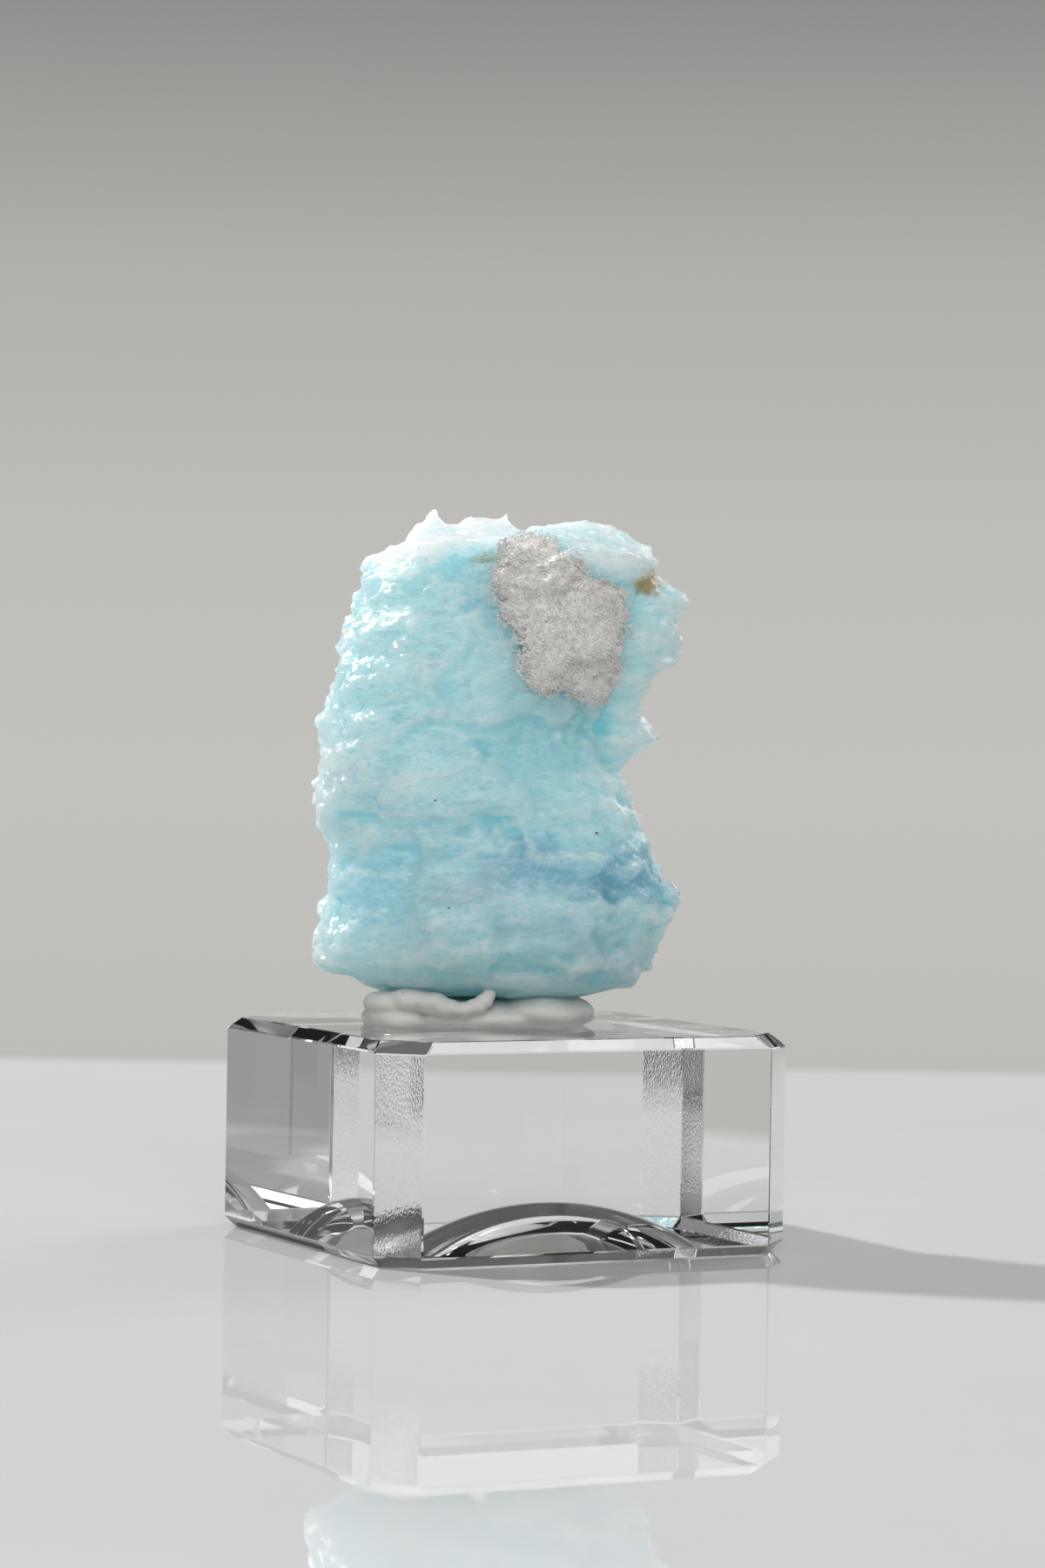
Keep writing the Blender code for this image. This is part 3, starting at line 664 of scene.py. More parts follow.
def front_forms(across, height, wander):
    """How far the named forms on the front stand out, in millimetres."""
    out = 0.0
    if LEFT_MASS_FOOT < height < LEFT_MASS_TOP:
        edge = np.interp(height, [p[0] for p in LEFT_MASS_EDGE], [p[1] for p in LEFT_MASS_EDGE])
        out += LEFT_MASS_STEP * rise(edge - across + LEFT_MASS_WANDER * wander, STEP_SOFTNESS)
    middle, half_width, level, half_height, step = LOWER_PLATE
    reach = max(abs(across - middle) / half_width, abs(height - level) / half_height)
    out += step * rise(1.0 - reach - LOWER_PLATE_WANDER * wander, LOWER_PLATE_SOFTNESS)
    middle, half_width, level, half_height, deep = FRONT_HOLLOW
    reach = math.hypot((across - middle) / half_width, (height - level) / half_height)
    out -= deep * math.exp(-reach ** HOLLOW_RIM)
    level, slope, half_width, deep, right_end = FRONT_GROOVE
    if across < right_end:
        away = (height - level - slope * across) / half_width
        out -= deep * math.exp(-away ** 2.0)
    cap_edge = np.interp(across, [p[0] for p in CAP_EDGE], [p[1] for p in CAP_EDGE])
    above = height - cap_edge + CAP_WANDER * wander
    out += CAP_LEDGE * math.exp(-(above / CAP_FADE) ** 2.0) * rise(above, CAP_SOFTNESS)
    return out


def relief(at, normal):
    """Height of the etched skin over the loft at a place, and its coarse, fine and small parts."""
    place = at / MM
    place.z -= GRAIN_SLOPE * place.x - GRAIN_BEND * place.x**2.0
    wander = sum(share * noise.noise(place * pace) for pace, share in WANDER)
    coarse = plates(place, COARSE_PLATES, COARSE_SEED)
    fine = plates(place, FINE_PLATES, FINE_SEED)
    small = plates(place, SMALL_PLATES, SMALL_SEED)
    move = coarse + fine + small
    move += rod_ends(place) * (RIGHT_RODS if normal.x > 0.0 else LEFT_RODS) * normal.x**2.0
    if normal.y < 0.0:
        move += front_forms(at.x / MM, at.z / MM, wander) * min(1.0, -2.0 * normal.y)
    return move * max(FOOT_RELIEF, min(1.0, (at.z / MM - FOOT_LEVEL) / FOOT_CALM)), coarse, fine, small


# Colour of its skin, and how frosted it is, where no zone is
BASE_HUE = "#C4EDF2"
BASE_FROST = 0.45
# Zones of its colour and skin, seen from the broad side: middle and half sizes in millimetres, sRGB
# colour, how much of it, and how frosted the skin is there. Their colours are partly the crystal's own
# zoning and partly painted light and shade: paler on the left and upper left, where the window light falls,
# and on the thin sheet at the right, which light shines through; paler on the underside as painted light
# against its shade; deep blue low on the right, partly painted shade under the bulge; and pale along the
# top, partly frost and partly painted light on the top face.
HUE_ZONES_AND_PAINTED_LIGHT = (
    ((4.0, -12.0, 58.0), (12.0, 40.0, 12.0), "#B4EBF0", 0.8, 0.35),
    ((-12.0, -12.0, 60.0), (9.0, 40.0, 9.0), "#C9F0F4", 0.7, 0.3),
    ((-12.0, -12.0, 52.0), (9.0, 40.0, 3.6), "#D2F3F7", 0.8, 0.5),
    ((-17.5, -12.0, 53.5), (6.0, 40.0, 9.0), "#E4F7FA", 0.8, 0.4),
    ((-13.5, -12.0, 39.5), (5.5, 40.0, 7.0), "#BCEDFD", 0.9, 0.2),
    ((9.0, -12.0, 42.6), (17.0, 40.0, 4.6), "#90CADB", 0.9, 0.4),
    ((14.0, -12.0, 41.4), (11.0, 40.0, 4.2), "#72B4CB", 0.85, 0.4),
    ((-3.5, -12.0, 40.5), (6.5, 40.0, 5.0), "#B4D3DF", 0.7, 0.8),
    ((6.0, -12.0, 35.5), (11.0, 40.0, 4.6), "#A3CFDC", 0.8, 0.75),
    ((0.0, -12.0, 29.6), (24.0, 40.0, 5.6), "#C8F5FF", 1.0, 0.6),
    ((-20.5, -8.0, 35.0), (4.0, 30.0, 6.0), "#DAF2F8", 0.85, 0.7),
    ((-24.5, 0.0, 55.0), (8.5, 60.0, 42.0), "#E0F4F6", 0.8, 0.6),
    ((14.0, 3.0, 58.0), (6.0, 40.0, 9.0), "#DFF8FB", 0.9, 0.4),
    ((16.0, 2.0, 68.0), (9.0, 40.0, 9.0), "#D6F8FA", 0.9, 0.3),
    ((-13.0, -10.0, 68.5), (7.0, 40.0, 6.0), "#D2F0F1", 0.75, 0.3),
    ((-9.0, -6.0, 80.0), (17.0, 60.0, 7.6), "#EDF2F0", 1.0, 0.6),
    ((12.0, 0.0, 79.6), (12.0, 60.0, 6.6), "#D9EEEE", 0.95, 0.4),
)
# Stains and one painted shadow, placed in the same way: iron brown under the cap at the right; olive under
# it at the left, a painted shadow line under the cap's overhang; a greenish one on the cap's right end and a
# greenish hollow beside the crust
STAINS_AND_PAINTED_SHADOW = (
    ((15.8, -2.0, 74.4), (3.0, 12.0, 2.1), "#BC9654", 0.95),
    ((-2.6, -9.0, 76.6), (2.6, 9.0, 0.9), "#B9B795", 0.75),
    ((14.6, -2.0, 77.0), (3.0, 12.0, 0.7), "#C4CDB0", 0.5),
    ((2.6, -12.0, 66.2), (3.2, 9.0, 1.2), "#8FBFB4", 0.6),
)
# Specks, likewise, with their colour and how much of it
SPECKS = (
    ((-7.7, -12.0, 49.6), (0.20, 6.0, 0.16), "#2E3A40", 1.0),
    ((-6.0, -12.0, 37.8), (0.18, 6.0, 0.14), "#36424A", 1.0),
    ((7.5, -12.0, 57.4), (0.22, 6.0, 0.16), "#303C3C", 1.0),
    ((10.3, -12.0, 46.2), (0.30, 6.0, 0.16), "#1E2628", 1.0),
)
# Where the skin's ledges are bare and glossy enough to flash: middle and half sizes, and how much
LEDGES = (
    ((-12.6, -10.0, 69.5), (5.5, 30.0, 6.0), 1.0),
    ((-4.6, -10.0, 72.4), (3.4, 30.0, 4.6), 0.8),
    ((-15.5, -10.0, 51.5), (7.0, 30.0, 4.2), 0.8),
    ((-14.0, -10.0, 60.0), (4.0, 30.0, 2.4), 0.6),
    ((-19.4, -8.0, 33.5), (3.6, 30.0, 3.6), 0.8),
    ((6.0, -3.0, 79.2), (10.0, 30.0, 3.2), 0.7),
)
# Where white fibres run along the crystal just under its skin, likewise
FIBROUS = (
    ((-4.0, -12.0, 41.0), (7.5, 40.0, 7.5), 1.0),
    ((-13.0, -12.0, 50.5), (9.5, 40.0, 5.0), 0.8),
    ((8.0, -12.0, 37.0), (10.0, 40.0, 6.0), 0.6),
    ((-14.0, -12.0, 69.0), (8.0, 40.0, 7.0), 0.7),
    ((2.0, -8.0, 79.0), (22.0, 40.0, 5.0), 0.8),
)
# Zones fade in over this share of their size, from just inside their rim
ZONE_RIM = 0.05
ZONE_FADE = 0.62
# How the zones wander: pace per millimetre and reach in millimetres, then how their ends fray lengthwise
ZONE_WANDER = ((0.11, 4.5), (0.4, 2.2), (1.1, 0.8))
ZONE_FRAY = Vector((0.16, 0.9, 1.7))
ZONE_FRAY_REACH = 3.0
# The ragged rim of the stains and of the painted shadow: pace per millimetre and reach in millimetres
STAIN_AND_SHADOW_PACE = 1.3
STAIN_AND_SHADOW_REACH = 0.9
# A point of the skin stands out or lies back by this much, in millimetres, where it counts as a sharp
# edge or a sharp crease
SHARP = 0.045
# How much a fine and a small plate's step counts beside a coarse one's, in how far a point stands out;
# how much a fine one's counts in its own tone; and from which share on a point counts as standing out
FINE_STAND = 2.0
SMALL_STAND = 5.0
FINE_TONE = 1.6
PROUD_FROM = 0.55
# Share and colour of what lies over the zones: painted light on plates that stand out, a painted highlight
# along edges and painted shade in creases
PAINTED_LIGHT_ON_PROUD = (0.3, "#DFF3F6")
PAINTED_EDGE_HIGHLIGHT = (0.20, "#EEF9FA")
PAINTED_CREASE_SHADE = (0.14, "#86C4D2")


def zone_shares(places, middle, half_sizes):
    """How much of a soft ellipsoid zone there is at each place, from 0 to 1."""
    away = np.linalg.norm((places - np.array(middle)) / np.array(half_sizes), axis=1)
    inside = np.clip((1.0 - away - ZONE_RIM) / ZONE_FADE, 0.0, 1.0)
    return inside * inside * (3.0 - 2.0 * inside)


def edge_sharpness(mesh):
    """How sharply the skin is bent at each point: up to 1 on an edge, down to -1 in a crease."""
    points = np.empty(len(mesh.vertices) * 3)
    mesh.vertices.foreach_get("co", points)
    points = points.reshape(-1, 3) / MM
    normals = np.array([vert.normal for vert in mesh.vertices])
    ends = np.empty(len(mesh.edges) * 2, dtype=np.int64)
    mesh.edges.foreach_get("vertices", ends)
    first, second = ends.reshape(-1, 2).T
    around = np.zeros_like(points)
    np.add.at(around, first, points[second])
    np.add.at(around, second, points[first])
    count = np.bincount(ends, minlength=len(points))
    proud = ((points - around / count[:, None]) * normals).sum(axis=1)
    return np.clip(proud / SHARP, -1.0, 1.0)


def lay_over(hues, shares, colour):
    """Lay one hex colour over the points' own, by each point's share."""
    hues += shares[:, None] * (np.array(linear(colour)) - hues)


def add_attribute(mesh, name, values):
    """Store one value, or one linear RGBA colour, at each point of a mesh."""
    if values.ndim == 1:
        mesh.attributes.new(name, "FLOAT", "POINT").data.foreach_set("value", values)
    else:
        mesh.attributes.new(name, "FLOAT_COLOR", "POINT").data.foreach_set("color", values.ravel())


def centred(mat, pattern, reach):
    """A pattern's random colours as shifts to all sides, by up to half the reach each way."""
    shift = {0: pattern.outputs["Color"], 1: (0.5, 0.5, 0.5)}
    shift = add_node(mat, "VectorMath", shift, operation="SUBTRACT")
    return add_node(mat, "VectorMath", {0: shift, 3: reach}, operation="SCALE")


# Beryl: pale sea blue from traces of iron, cloudy with fine tubes along its length, so that light spreads
# inside it; its etched skin is silky where striated and flashes where a bare ledge catches the window
STRIAE_TURN = math.radians(5.0)
beryl, shader = new_material("etched_aquamarine")
at = add_node(beryl, "TexCoord").outputs["Object"]
broadside = {"Vector": at, "Rotation": (0.0, 0.0, -BROAD_SIDE_TURN)}
broadside = add_node(beryl, "Mapping", broadside)
lengthwise = {"Vector": broadside, "Rotation": (0.0, STRIAE_TURN, 0.0)}
lengthwise = add_node(beryl, "Mapping", lengthwise)
stretched = add_node(beryl, "Mapping", {"Vector": lengthwise, "Scale": (0.16, 1.0, 1.0)})
clouds, bands, tubes = (
    add_node(beryl, "TexNoise", {"Vector": way, "Scale": pace / MM, "Detail": detail, "Roughness": rough})
    for way, pace, detail, rough in (
        (lengthwise, 0.11, 5.0, 0.6),
        (stretched, 0.52, 6.0, 0.65),
        (stretched, 3.0, 3.0, 0.6),
    )
)
# The skin's own colour, with its painted light and shade and the painted shadow under the cap laid in
hue = add_node(beryl, "Attribute", attribute_name="hue_and_painted_light").outputs["Color"]
frost = add_node(beryl, "Attribute", attribute_name="frost").outputs["Fac"]

# Etched plates too small to model: flat scales, each leaning its own way and with a shade of its own. In
# millimetres along, through and up, then how far they lean and how much their shades differ; their
# outlines are torn over this many millimetres
SCALES = ((3.4, 1.7, 1.3, 0.30, 0.12), (1.4, 0.8, 0.55, 0.42, 0.20), (0.6, 0.36, 0.24, 0.42, 0.22))
TORN = 2.2
torn = {0: lengthwise, 1: centred(beryl, bands, TORN * MM)}
torn = add_node(beryl, "VectorMath", torn, operation="ADD")
plate_tone = add_node(beryl, "Attribute", attribute_name="plate_tone").outputs["Fac"]
tone = add_node(beryl, "MapRange", {"Value": plate_tone, "To Min": -0.16, "To Max": 0.16})
lie = add_node(beryl, "NewGeometry").outputs["Normal"]
plate_rims = 0.0
for along, through, up, leaning, shade in SCALES:
    laid = [1.0 / (along * MM), 1.0 / (through * MM), 1.0 / (up * MM)]
    laid = add_node(beryl, "Mapping", {"Vector": torn, "Scale": laid})
    scales = add_node(beryl, "TexVoronoi", {"Vector": laid, "Scale": 1.0})
    lie = {0: lie, 1: centred(beryl, scales, leaning)}
    lie = add_node(beryl, "VectorMath", lie, operation="ADD")
    own = add_node(beryl, "SeparateColor", {"Color": scales.outputs["Color"]}).outputs["Red"]
    own = add_node(beryl, "MapRange", {"Value": own, "To Min": -shade, "To Max": shade})
    tone = add_node(beryl, "Math", {0: tone, 1: own}, operation="ADD")
    rims = add_node(beryl, "TexVoronoi", {"Vector": laid, "Scale": 1.0}, feature="DISTANCE_TO_EDGE")
    rims = {"Value": rims.outputs["Distance"], "From Max": 0.06, "To Min": 1.0, "To Max": 0.0}
    rims = add_node(beryl, "MapRange", rims)
    plate_rims = add_node(beryl, "Math", {0: plate_rims, 1: rims}, operation="MAXIMUM")
lie = add_node(beryl, "VectorMath", {0: lie}, operation="NORMALIZE")

# Bare ledges face up, to the left and toward the viewer, as the crystal's own planes run: their way, how
# far they stray from it, their turn, how many there are to a millimetre along, through and up, and which
# share of them is bare and glossy where the skin has most
LEDGE_WAY = Matrix.Rotation(BROAD_SIDE_TURN, 3, "Z") @ Vector((-0.53, -0.60, 0.60))
LEDGE_STRAY = 0.36
LEDGE_TURN = math.radians(-22.0)
LEDGE_CELLS = (1.5, 1.9, 5.2)
LEDGE_SHARE = 0.38
LEDGE_GLOSS = 0.08
ledges = add_node(beryl, "Attribute", attribute_name="ledges").outputs["Fac"]
laid = {"Vector": torn, "Rotation": (0.0, LEDGE_TURN, 0.0), "Scale": [cells / MM for cells in LEDGE_CELLS]}
laid = add_node(beryl, "Mapping", laid)
slips = add_node(beryl, "TexVoronoi", {"Vector": laid, "Scale": 1.0})
own = add_node(beryl, "SeparateColor", {"Color": slips.outputs["Color"]})
bare = add_node(beryl, "MapRange", {"Value": ledges, "To Min": 1.0, "To Max": 1.0 - LEDGE_SHARE})
bare = add_node(beryl, "Math", {0: own.outputs["Red"], 1: bare}, operation="GREATER_THAN")
toward = add_node(beryl, "VectorMath", {0: lie, 1: LEDGE_WAY}, operation="DOT_PRODUCT").outputs["Value"]
toward = add_node(beryl, "MapRange", {"Value": toward, "From Min": 0.35, "From Max": 0.55})
bare = add_node(beryl, "Math", {0: bare, 1: toward}, operation="MULTIPLY")
ledge_lie = {0: centred(beryl, slips, LEDGE_STRAY), 1: LEDGE_WAY}
ledge_lie = add_node(beryl, "VectorMath", ledge_lie, operation="ADD")
mix = {"Factor": bare, "A": lie, "B": ledge_lie}
lie = add_node(beryl, "Mix", mix, data_type="VECTOR").outputs["Result"]
lie = add_node(beryl, "VectorMath", {0: lie}, operation="NORMALIZE")

# Clouds, bands and tubes each make the skin lighter and darker by up to this much
for source, most in ((clouds, 0.3), (bands, 0.45), (tubes, 0.5)):
    part = add_node(beryl, "MapRange", {"Value": source.outputs["Fac"], "To Min": -most, "To Max": most})
    tone = add_node(beryl, "Math", {0: tone, 1: part}, operation="ADD")
# The scales' rims are pale where the bands are, and white fibres show under the skin in their own zones
broken = add_node(beryl, "MapRange", {"Value": bands.outputs["Fac"], "From Min": 0.42, "From Max": 0.62})
plate_rims = add_node(beryl, "Math", {0: plate_rims, 1: broken}, operation="MULTIPLY")
drawn_out = add_node(beryl, "Mapping", {"Vector": torn, "Scale": (0.10, 1.0, 1.0)})
fibres = {"Vector": drawn_out, "Scale": 5.2 / MM, "Detail": 2.0, "Roughness": 0.5}
fibres = add_node(beryl, "TexNoise", fibres)
fibres = {"Value": fibres.outputs["Fac"], "From Min": 0.55, "From Max": 0.66}
fibres = add_node(beryl, "MapRange", fibres)
fibrous = add_node(beryl, "Attribute", attribute_name="fibrous").outputs["Fac"]
fibres = add_node(beryl, "Math", {0: fibres, 1: fibrous}, operation="MULTIPLY")
# What colours the skin, the values over which it comes in, and its greatest share and its colour
for value, start, end, most, colour in (
    (tone, 0.0, -0.6, 0.36, "#8FCDDB"),
    (tone, 0.0, 0.6, 0.34, "#DDF4F8"),
    (plate_rims, 0.0, 1.0, 0.42, "#ECFAFB"),
    (fibres, 0.0, 1.0, 0.34, "#EAF4F6"),
):
    amount = {"Value": value, "From Min": start, "From Max": end, "To Max": most}
    amount = add_node(beryl, "MapRange", amount)
    mix = {"Factor": amount, "A": hue, "B": linear(colour)}
    hue = add_node(beryl, "Mix", mix, data_type="RGBA").outputs["Result"]
# The specks' outlines fray over this many millimetres, and the specks fade in from rim to core
SPECK_FRAY = 0.8
SPECK_RIM = 0.05
SPECK_CORE = 0.45
frayed = {0: broadside, 1: centred(beryl, tubes, SPECK_FRAY * MM)}
frayed = add_node(beryl, "VectorMath", frayed, operation="ADD")
for middle, half_sizes, colour, amount in SPECKS:
    scale = [1.0 / (size * MM) for size in half_sizes]
    shift = [-at_mm * MM * factor for at_mm, factor in zip(middle, scale)]
    local = add_node(beryl, "Mapping", {"Vector": frayed, "Location": shift, "Scale": scale})
    speck = add_node(beryl, "TexGradient", {"Vector": local}, gradient_type="SPHERICAL")
    speck = {"Value": speck.outputs["Fac"], "From Min": SPECK_RIM, "From Max": SPECK_CORE, "To Max": amount}
    speck = add_node(beryl, "MapRange", speck, interpolation_type="SMOOTHSTEP")
    mix = {"Factor": speck, "A": hue, "B": linear(colour)}
    hue = add_node(beryl, "Mix", mix, data_type="RGBA").outputs["Result"]
silk = add_node(beryl, "Math", {0: tubes.outputs["Fac"], 1: bands.outputs["Fac"]}, operation="ADD")
striae = {"Strength": 0.55, "Distance": 0.16 * MM, "Height": silk, "Normal": lie}
striae = add_node(beryl, "Bump", striae)
gloss = add_node(beryl, "MapRange", {"Value": frost, "To Min": 0.20, "To Max": 0.50})
gloss = add_node(beryl, "Mix", {"Factor": bare, "A": gloss, "B": LEDGE_GLOSS}).outputs["Result"]
finish = {"Base Color": hue, "Roughness": gloss, "Normal": striae, "IOR": 1.57, "Transmission Weight": 0.08}
glow = {"Subsurface Weight": 1.0, "Subsurface Scale": 15.0 * MM, "Subsurface Radius": (0.75, 0.97, 1.0)}
set_inputs(beryl, shader, {**finish, **glow})

bm = bmesh.new()
loft(MAIN_SECTIONS, bm)
loft(REAR_SECTIONS, bm)
add_lumps(bm, TEETH)
crystal = put_in_scene("etched_crystal", bm, beryl)
even_skin(crystal, LOFT_GRID)
soften(crystal, 1)
skin = [(vert.co.copy(), vert.normal.copy()) for vert in crystal.data.vertices]
for vert, (at_rest, normal) in zip(crystal.data.vertices, skin):
    vert.co = at_rest + normal * relief(at_rest, normal)[0] * MM
even_skin(crystal, CRYSTAL_GRID)
soften(crystal, 1)
mesh = crystal.data
spots, calm_spots, tones, stands = [], [], [], []
for vert in mesh.vertices:
    spot = vert.co / MM
    moved = spot.copy()
    for pace, reach in ZONE_WANDER:
        moved += noise.noise_vector(spot * pace) * reach
    moved.x += noise.noise(spot * ZONE_FRAY) * ZONE_FRAY_REACH
    spots.append(moved)
    calm_spots.append(spot + noise.noise_vector(spot * STAIN_AND_SHADOW_PACE) * STAIN_AND_SHADOW_REACH)
    coarse, fine, small = relief(vert.co, vert.normal)[1:]
    stands.append(0.5 + 0.5 * (coarse + FINE_STAND * fine + SMALL_STAND * small))
    tones.append(0.5 + coarse + FINE_TONE * fine)
spots = np.array(spots)
sharpness = edge_sharpness(mesh)
hues = np.tile(np.array(linear(BASE_HUE)), (len(spots), 1))
frosts = np.full(len(spots), BASE_FROST)
# Lay the zones' own colour and their painted light and shade over the base hue
for middle, half_sizes, colour, amount, frosting in HUE_ZONES_AND_PAINTED_LIGHT:
    here = amount * zone_shares(spots, middle, half_sizes)
    lay_over(hues, here, colour)
    frosts += here * (frosting - frosts)
# Lay on painted light where plates stand out, a painted highlight on sharp edges and painted shade in creases
for (share, colour), there in (
    (PAINTED_LIGHT_ON_PROUD, (np.array(stands) - PROUD_FROM) / (1.0 - PROUD_FROM)),
    (PAINTED_EDGE_HIGHLIGHT, sharpness),
    (PAINTED_CREASE_SHADE, -sharpness),
):
    lay_over(hues, share * np.clip(there, 0.0, 1.0), colour)
# Lay on the stains, and the olive shadow line painted under the cap's overhang
for middle, half_sizes, colour, amount in STAINS_AND_PAINTED_SHADOW:
    lay_over(hues, amount * zone_shares(np.array(calm_spots), middle, half_sizes), colour)
add_attribute(mesh, "hue_and_painted_light", hues)
add_attribute(mesh, "frost", frosts)
add_attribute(mesh, "plate_tone", np.clip(np.array(tones), 0.0, 1.0))
for name, table in (("ledges", LEDGES), ("fibrous", FIBROUS)):
    shares = [amount * zone_shares(spots, middle, half_sizes) for middle, half_sizes, amount in table]
    add_attribute(mesh, name, np.max(shares, axis=0))
# The crust finds the finished skin with this
corners = [face.vertices for face in mesh.polygons]
skin_tree = BVHTree.FromPolygons([vert.co for vert in mesh.vertices], corners)
turn_to_place(crystal)
mesh.shade_smooth()
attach(crystal, "root")
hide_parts("aquamarine_crystal")


# White crust: a patch of fine-grained albite that grew on the crystal's upper right, like damp sugar,
# with a ragged rim that thins out over the blue. Loose grains lie round it.

# Lumps on the broad side: middle and half sizes across and up, and how thick each is
CRUST_LUMPS = (
    (2.4, 76.3, 3.4, 2.9, 2.9),
    (1.6, 74.2, 3.2, 2.9, 2.6),
    (4.6, 74.4, 3.6, 3.2, 3.0),
    (3.6, 71.2, 4.2, 3.4, 2.7),
    (7.2, 71.6, 4.4, 3.2, 2.7),
    (10.6, 71.2, 2.6, 2.6, 2.2),
    (9.4, 68.4, 3.7, 3.8, 2.6),
    (5.4, 68.0, 4.0, 3.2, 2.4),
    (5.2, 65.0, 3.4, 2.8, 2.3),
    (8.4, 64.8, 4.0, 3.2, 2.4),
    (9.2, 62.6, 2.4, 1.9, 2.0),
    (4.2, 63.2, 2.0, 1.6, 1.8),
)
# How far the lumps stand out of the crystal's front before they are laid on it, how much wider than the
# crust they are, so that its rim can be ragged, and the point spacing of its skin
CRUST_PROUD = 1.6
CRUST_SPREAD = 1.05
CRUST_GRID = 0.17
# Over the blue the crust is this thick, in millimetres, and gets there over this share of a lump
CRUST_THICK = 1.5
CRUST_SHOULDER = 0.38
# Its rim and its top wander, as pairs of pace per millimetre and share, each in its own way
CRUST_RAGS = ((0.45, 0.30), (1.1, 0.22), (2.6, 0.16))
CRUST_SWELLS = ((0.5, 0.45), (1.3, 0.22))
SWELL_SHIFT = Vector((9.0, 5.0, 2.0))
# Beyond its rim it is sunk this far below the crystal's skin
CRUST_SUNK = 0.25
# Its hidden inner side, which faces this much to the back, lies this far inside the crystal
CRUST_BACK = 0.2
CRUST_ROOT = 1.2
# Single grains: how many stand on the crust and how many lie loose around its rim, their length and
# width as least and most, and how far they tilt out of the skin's way on the crust and beside it
GRAINS_ON_CRUST = 4200
GRAINS_ROUND_CRUST = 1500
GRAIN_LENGTH = (0.22, 0.55)
GRAIN_WIDTH = (0.10, 0.22)
GRAIN_TILT_ON = 0.9
GRAIN_TILT_ROUND = 1.3
# The loose ones lie in this part of the broad side, from this far outside the crust's outline to this
# far inside it, as crust_cover measures it, in clumps with this pace per millimetre
GRAINS_ACROSS = (-3.5, 16.0)
GRAINS_UP = (58.0, 81.0)
GRAIN_REACH = 0.75
GRAIN_OVERLAP = 0.25
CLUMP_PACE = 0.8
GRAIN_SEED = 4
# Grains are made a few at a time, because adding cubes to a large mesh is slow
GRAIN_BATCH = 100
# Rays toward the skin start this far in front of the object's middle and run straight back
AHEAD_OF_ALL = -40.0
INWARD = Vector((0.0, 1.0, 0.0))


def front_of_main(across, level):
    """Depth of the main mass's front at a place on the broad side."""
    table = np.array(MAIN_SECTIONS)
    left, right, front, back = (np.interp(level, table[:, 0], table[:, k]) for k in (1, 2, 3, 4))
    reach = min(1.0, abs(across - 0.5 * (left + right)) / (0.5 * (right - left)))
    bulge = (1.0 - reach**SECTION_POWER) ** (1.0 / SECTION_POWER)
    return 0.5 * (front + back) - bulge * 0.5 * (back - front)


# Albite: colourless grains so small that they scatter all light, hence white, with grey and buff hollows
albite, shader = new_material("sugary_albite")
at = add_node(albite, "TexCoord").outputs["Object"]
patches = add_node(albite, "TexNoise", {"Vector": at, "Scale": 0.33 / MM, "Detail": 4.0, "Roughness": 0.6})
tone = add_node(albite, "ValToRGB", {"Fac": patches.outputs["Fac"]})
set_stops(tone, ((0.28, "#DBD9D6"), (0.5, "#E9E7E4"), (0.72, "#F1EFEC")))
sugar = add_node(albite, "TexVoronoi", {"Vector": at, "Scale": 4.2 / MM})
grain_way = {0: add_node(albite, "NewGeometry").outputs["Normal"], 1: centred(albite, sugar, 0.5)}
grain_way = add_node(albite, "VectorMath", grain_way, operation="ADD")
grain_way = add_node(albite, "VectorMath", {0: grain_way}, operation="NORMALIZE")
own = add_node(albite, "SeparateColor", {"Color": sugar.outputs["Color"]}).outputs["Red"]
bright = {"Value": own, "From Min": 0.3, "From Max": 1.0, "To Max": 0.4}
bright = add_node(albite, "MapRange", bright)
mix = {"Factor": bright, "A": tone.outputs["Color"], "B": linear("#F4F1ED")}
shaded = add_node(albite, "Mix", mix, data_type="RGBA")
finish = {"Base Color": shaded.outputs["Result"], "Roughness": 0.32, "Normal": grain_way, "IOR": 1.53}
set_inputs(albite, shader, finish)


def crust_cover(across, level):
    """How far inside the crust a place on the broad side lies: 1 at a lump's middle, 0 at its rim."""
    return max(
        1.0 - ((across - x) / half_x) ** 2.0 - ((level - z) / half_z) ** 2.0
        for x, z, half_x, half_z, _ in CRUST_LUMPS
    )


def add_grain(bm, spot, way, chance):
    """One small prism of albite, standing the given way."""
    width = [chance.uniform(*GRAIN_WIDTH) * MM for _ in range(2)]
    size = Matrix.Diagonal((width[0], width[1], chance.uniform(*GRAIN_LENGTH) * MM, 1.0))
    spun = Matrix.Rotation(chance.uniform(0.0, math.pi), 4, "Z")
    turned = way.to_track_quat("Z", "Y").to_matrix().to_4x4() @ spun
    bmesh.ops.create_cube(bm, size=1.0, matrix=Matrix.Translation(spot) @ turned @ size)


bm = bmesh.new()
add_lumps(
    bm,
    [
        (x, front_of_main(x, z) + thick - CRUST_PROUD, z, CRUST_SPREAD * half_x, thick, CRUST_SPREAD * half_z)
        for x, z, half_x, half_z, thick in CRUST_LUMPS
    ],
)
crust = put_in_scene("albite_crust", bm, albite)
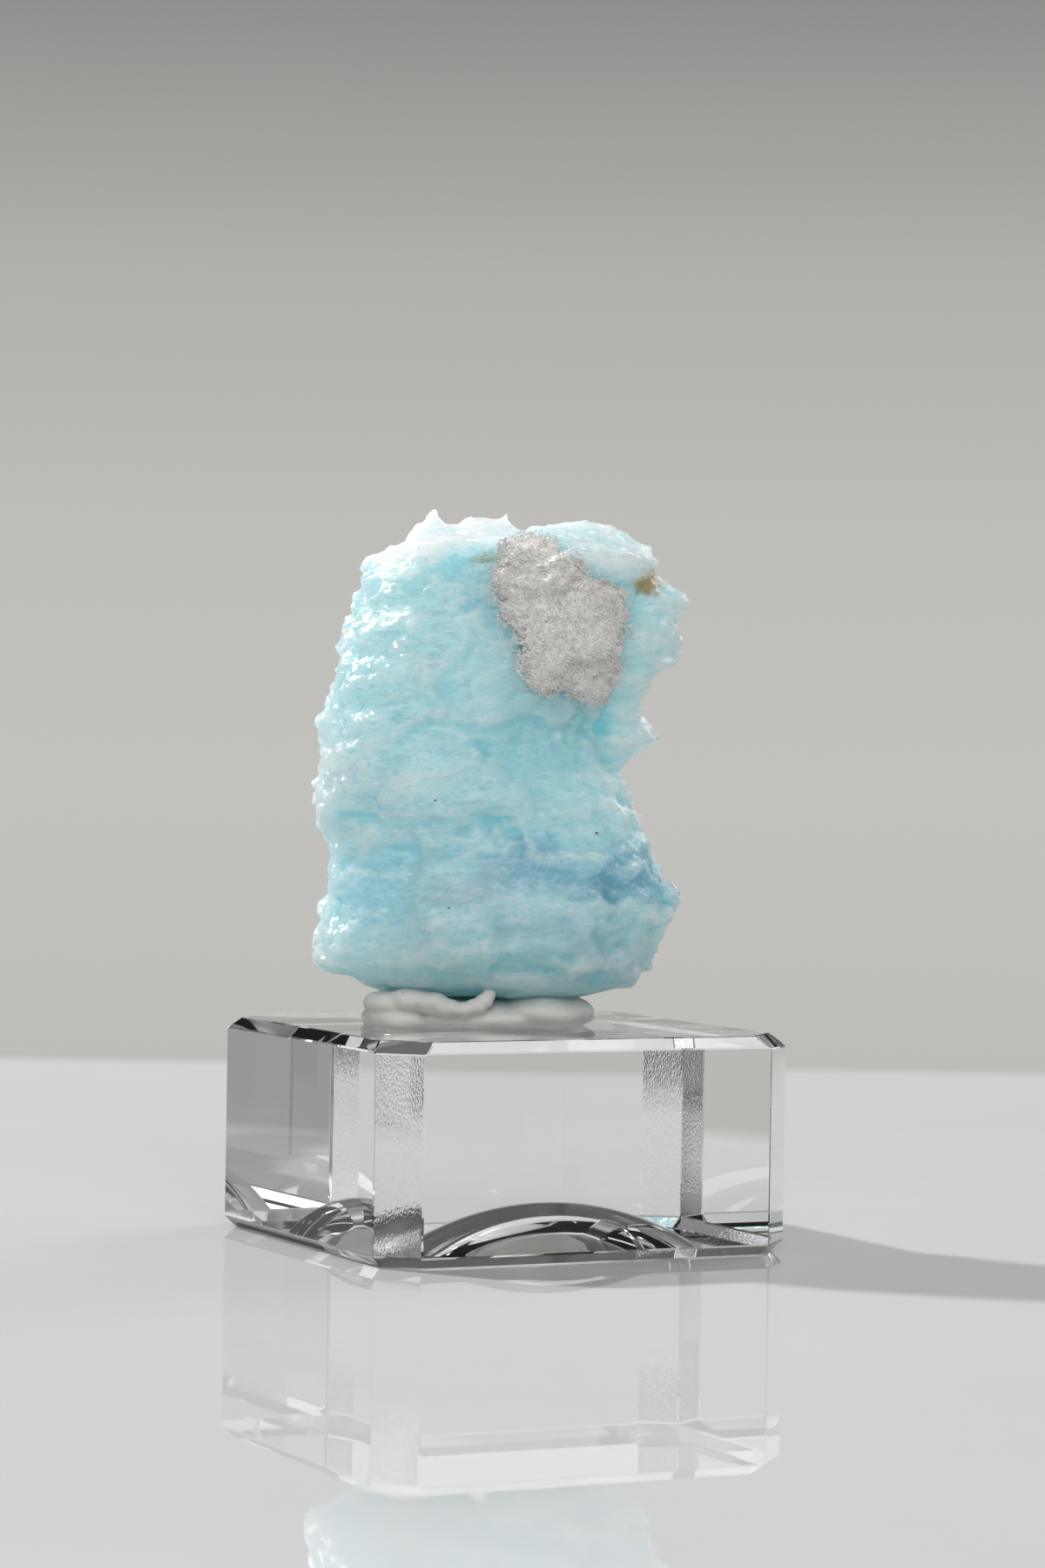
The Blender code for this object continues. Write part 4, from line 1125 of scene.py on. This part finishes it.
# A coarse skin first, so that the lumps run together, then a fine one
even_skin(crust, 3.0 * CRUST_GRID)
soften(crust, 3)
even_skin(crust, CRUST_GRID)
soften(crust, 1)
mesh = crust.data
facing_out = [vert.normal.y < CRUST_BACK for vert in mesh.vertices]
on_top = []
for vert, out in zip(mesh.vertices, facing_out):
    skin_here = skin_tree.ray_cast(Vector((vert.co.x, AHEAD_OF_ALL * MM, vert.co.z)), INWARD)[0]
    skin_depth = skin_here.y if skin_here else front_of_main(vert.co.x / MM, vert.co.z / MM) * MM
    if not out:
        vert.co.y = skin_depth + CRUST_ROOT * MM
        continue
    spot = vert.co / MM
    rags = sum(share * noise.noise(spot * pace) for pace, share in CRUST_RAGS)
    swells = sum(share * noise.noise(spot * pace + SWELL_SHIFT) for pace, share in CRUST_SWELLS)
    cover = crust_cover(spot.x, spot.z) + rags
    thick = CRUST_THICK * (1.0 - math.exp(-max(0.0, cover) / CRUST_SHOULDER)) * (1.0 + swells)
    vert.co.y = skin_depth + (CRUST_SUNK if cover < 0.0 else -thick) * MM
    if cover > 0.0:
        on_top.append(vert.index)
mesh.shade_smooth()
mesh.update()
footings = [(mesh.vertices[k].co.copy(), mesh.vertices[k].normal.copy()) for k in on_top]
chance = random.Random(GRAIN_SEED)
grown = [(spot, way, GRAIN_TILT_ON) for spot, way in chance.choices(footings, k=GRAINS_ON_CRUST)]
while len(grown) < GRAINS_ON_CRUST + GRAINS_ROUND_CRUST:
    across, level = chance.uniform(*GRAINS_ACROSS), chance.uniform(*GRAINS_UP)
    cover = crust_cover(across, level)
    clump = 0.5 + noise.noise(Vector((across, 0.0, level)) * CLUMP_PACE)
    if not -GRAIN_REACH < cover < GRAIN_OVERLAP or chance.random() > clump * (1.0 + cover / GRAIN_REACH):
        continue
    start = Vector((across, AHEAD_OF_ALL, level)) * MM
    spot, skin_way = skin_tree.ray_cast(start, INWARD)[:2]
    if spot:
        grown.append((spot, skin_way, GRAIN_TILT_ROUND))
bm = bmesh.new()
bm.from_mesh(mesh)
some_grains = bpy.data.meshes.new("some_grains")
for first in range(0, len(grown), GRAIN_BATCH):
    few = bmesh.new()
    for spot, way, tilted in grown[first : first + GRAIN_BATCH]:
        tilt = Vector([chance.uniform(-tilted, tilted) for _ in range(3)])
        add_grain(few, spot, (way + tilt).normalized(), chance)
    few.to_mesh(some_grains)
    few.free()
    bm.from_mesh(some_grains)
bpy.data.meshes.remove(some_grains)
bm.to_mesh(mesh)
bm.free()
turn_to_place(crust)
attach(crust, "root")
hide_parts("white_crust")
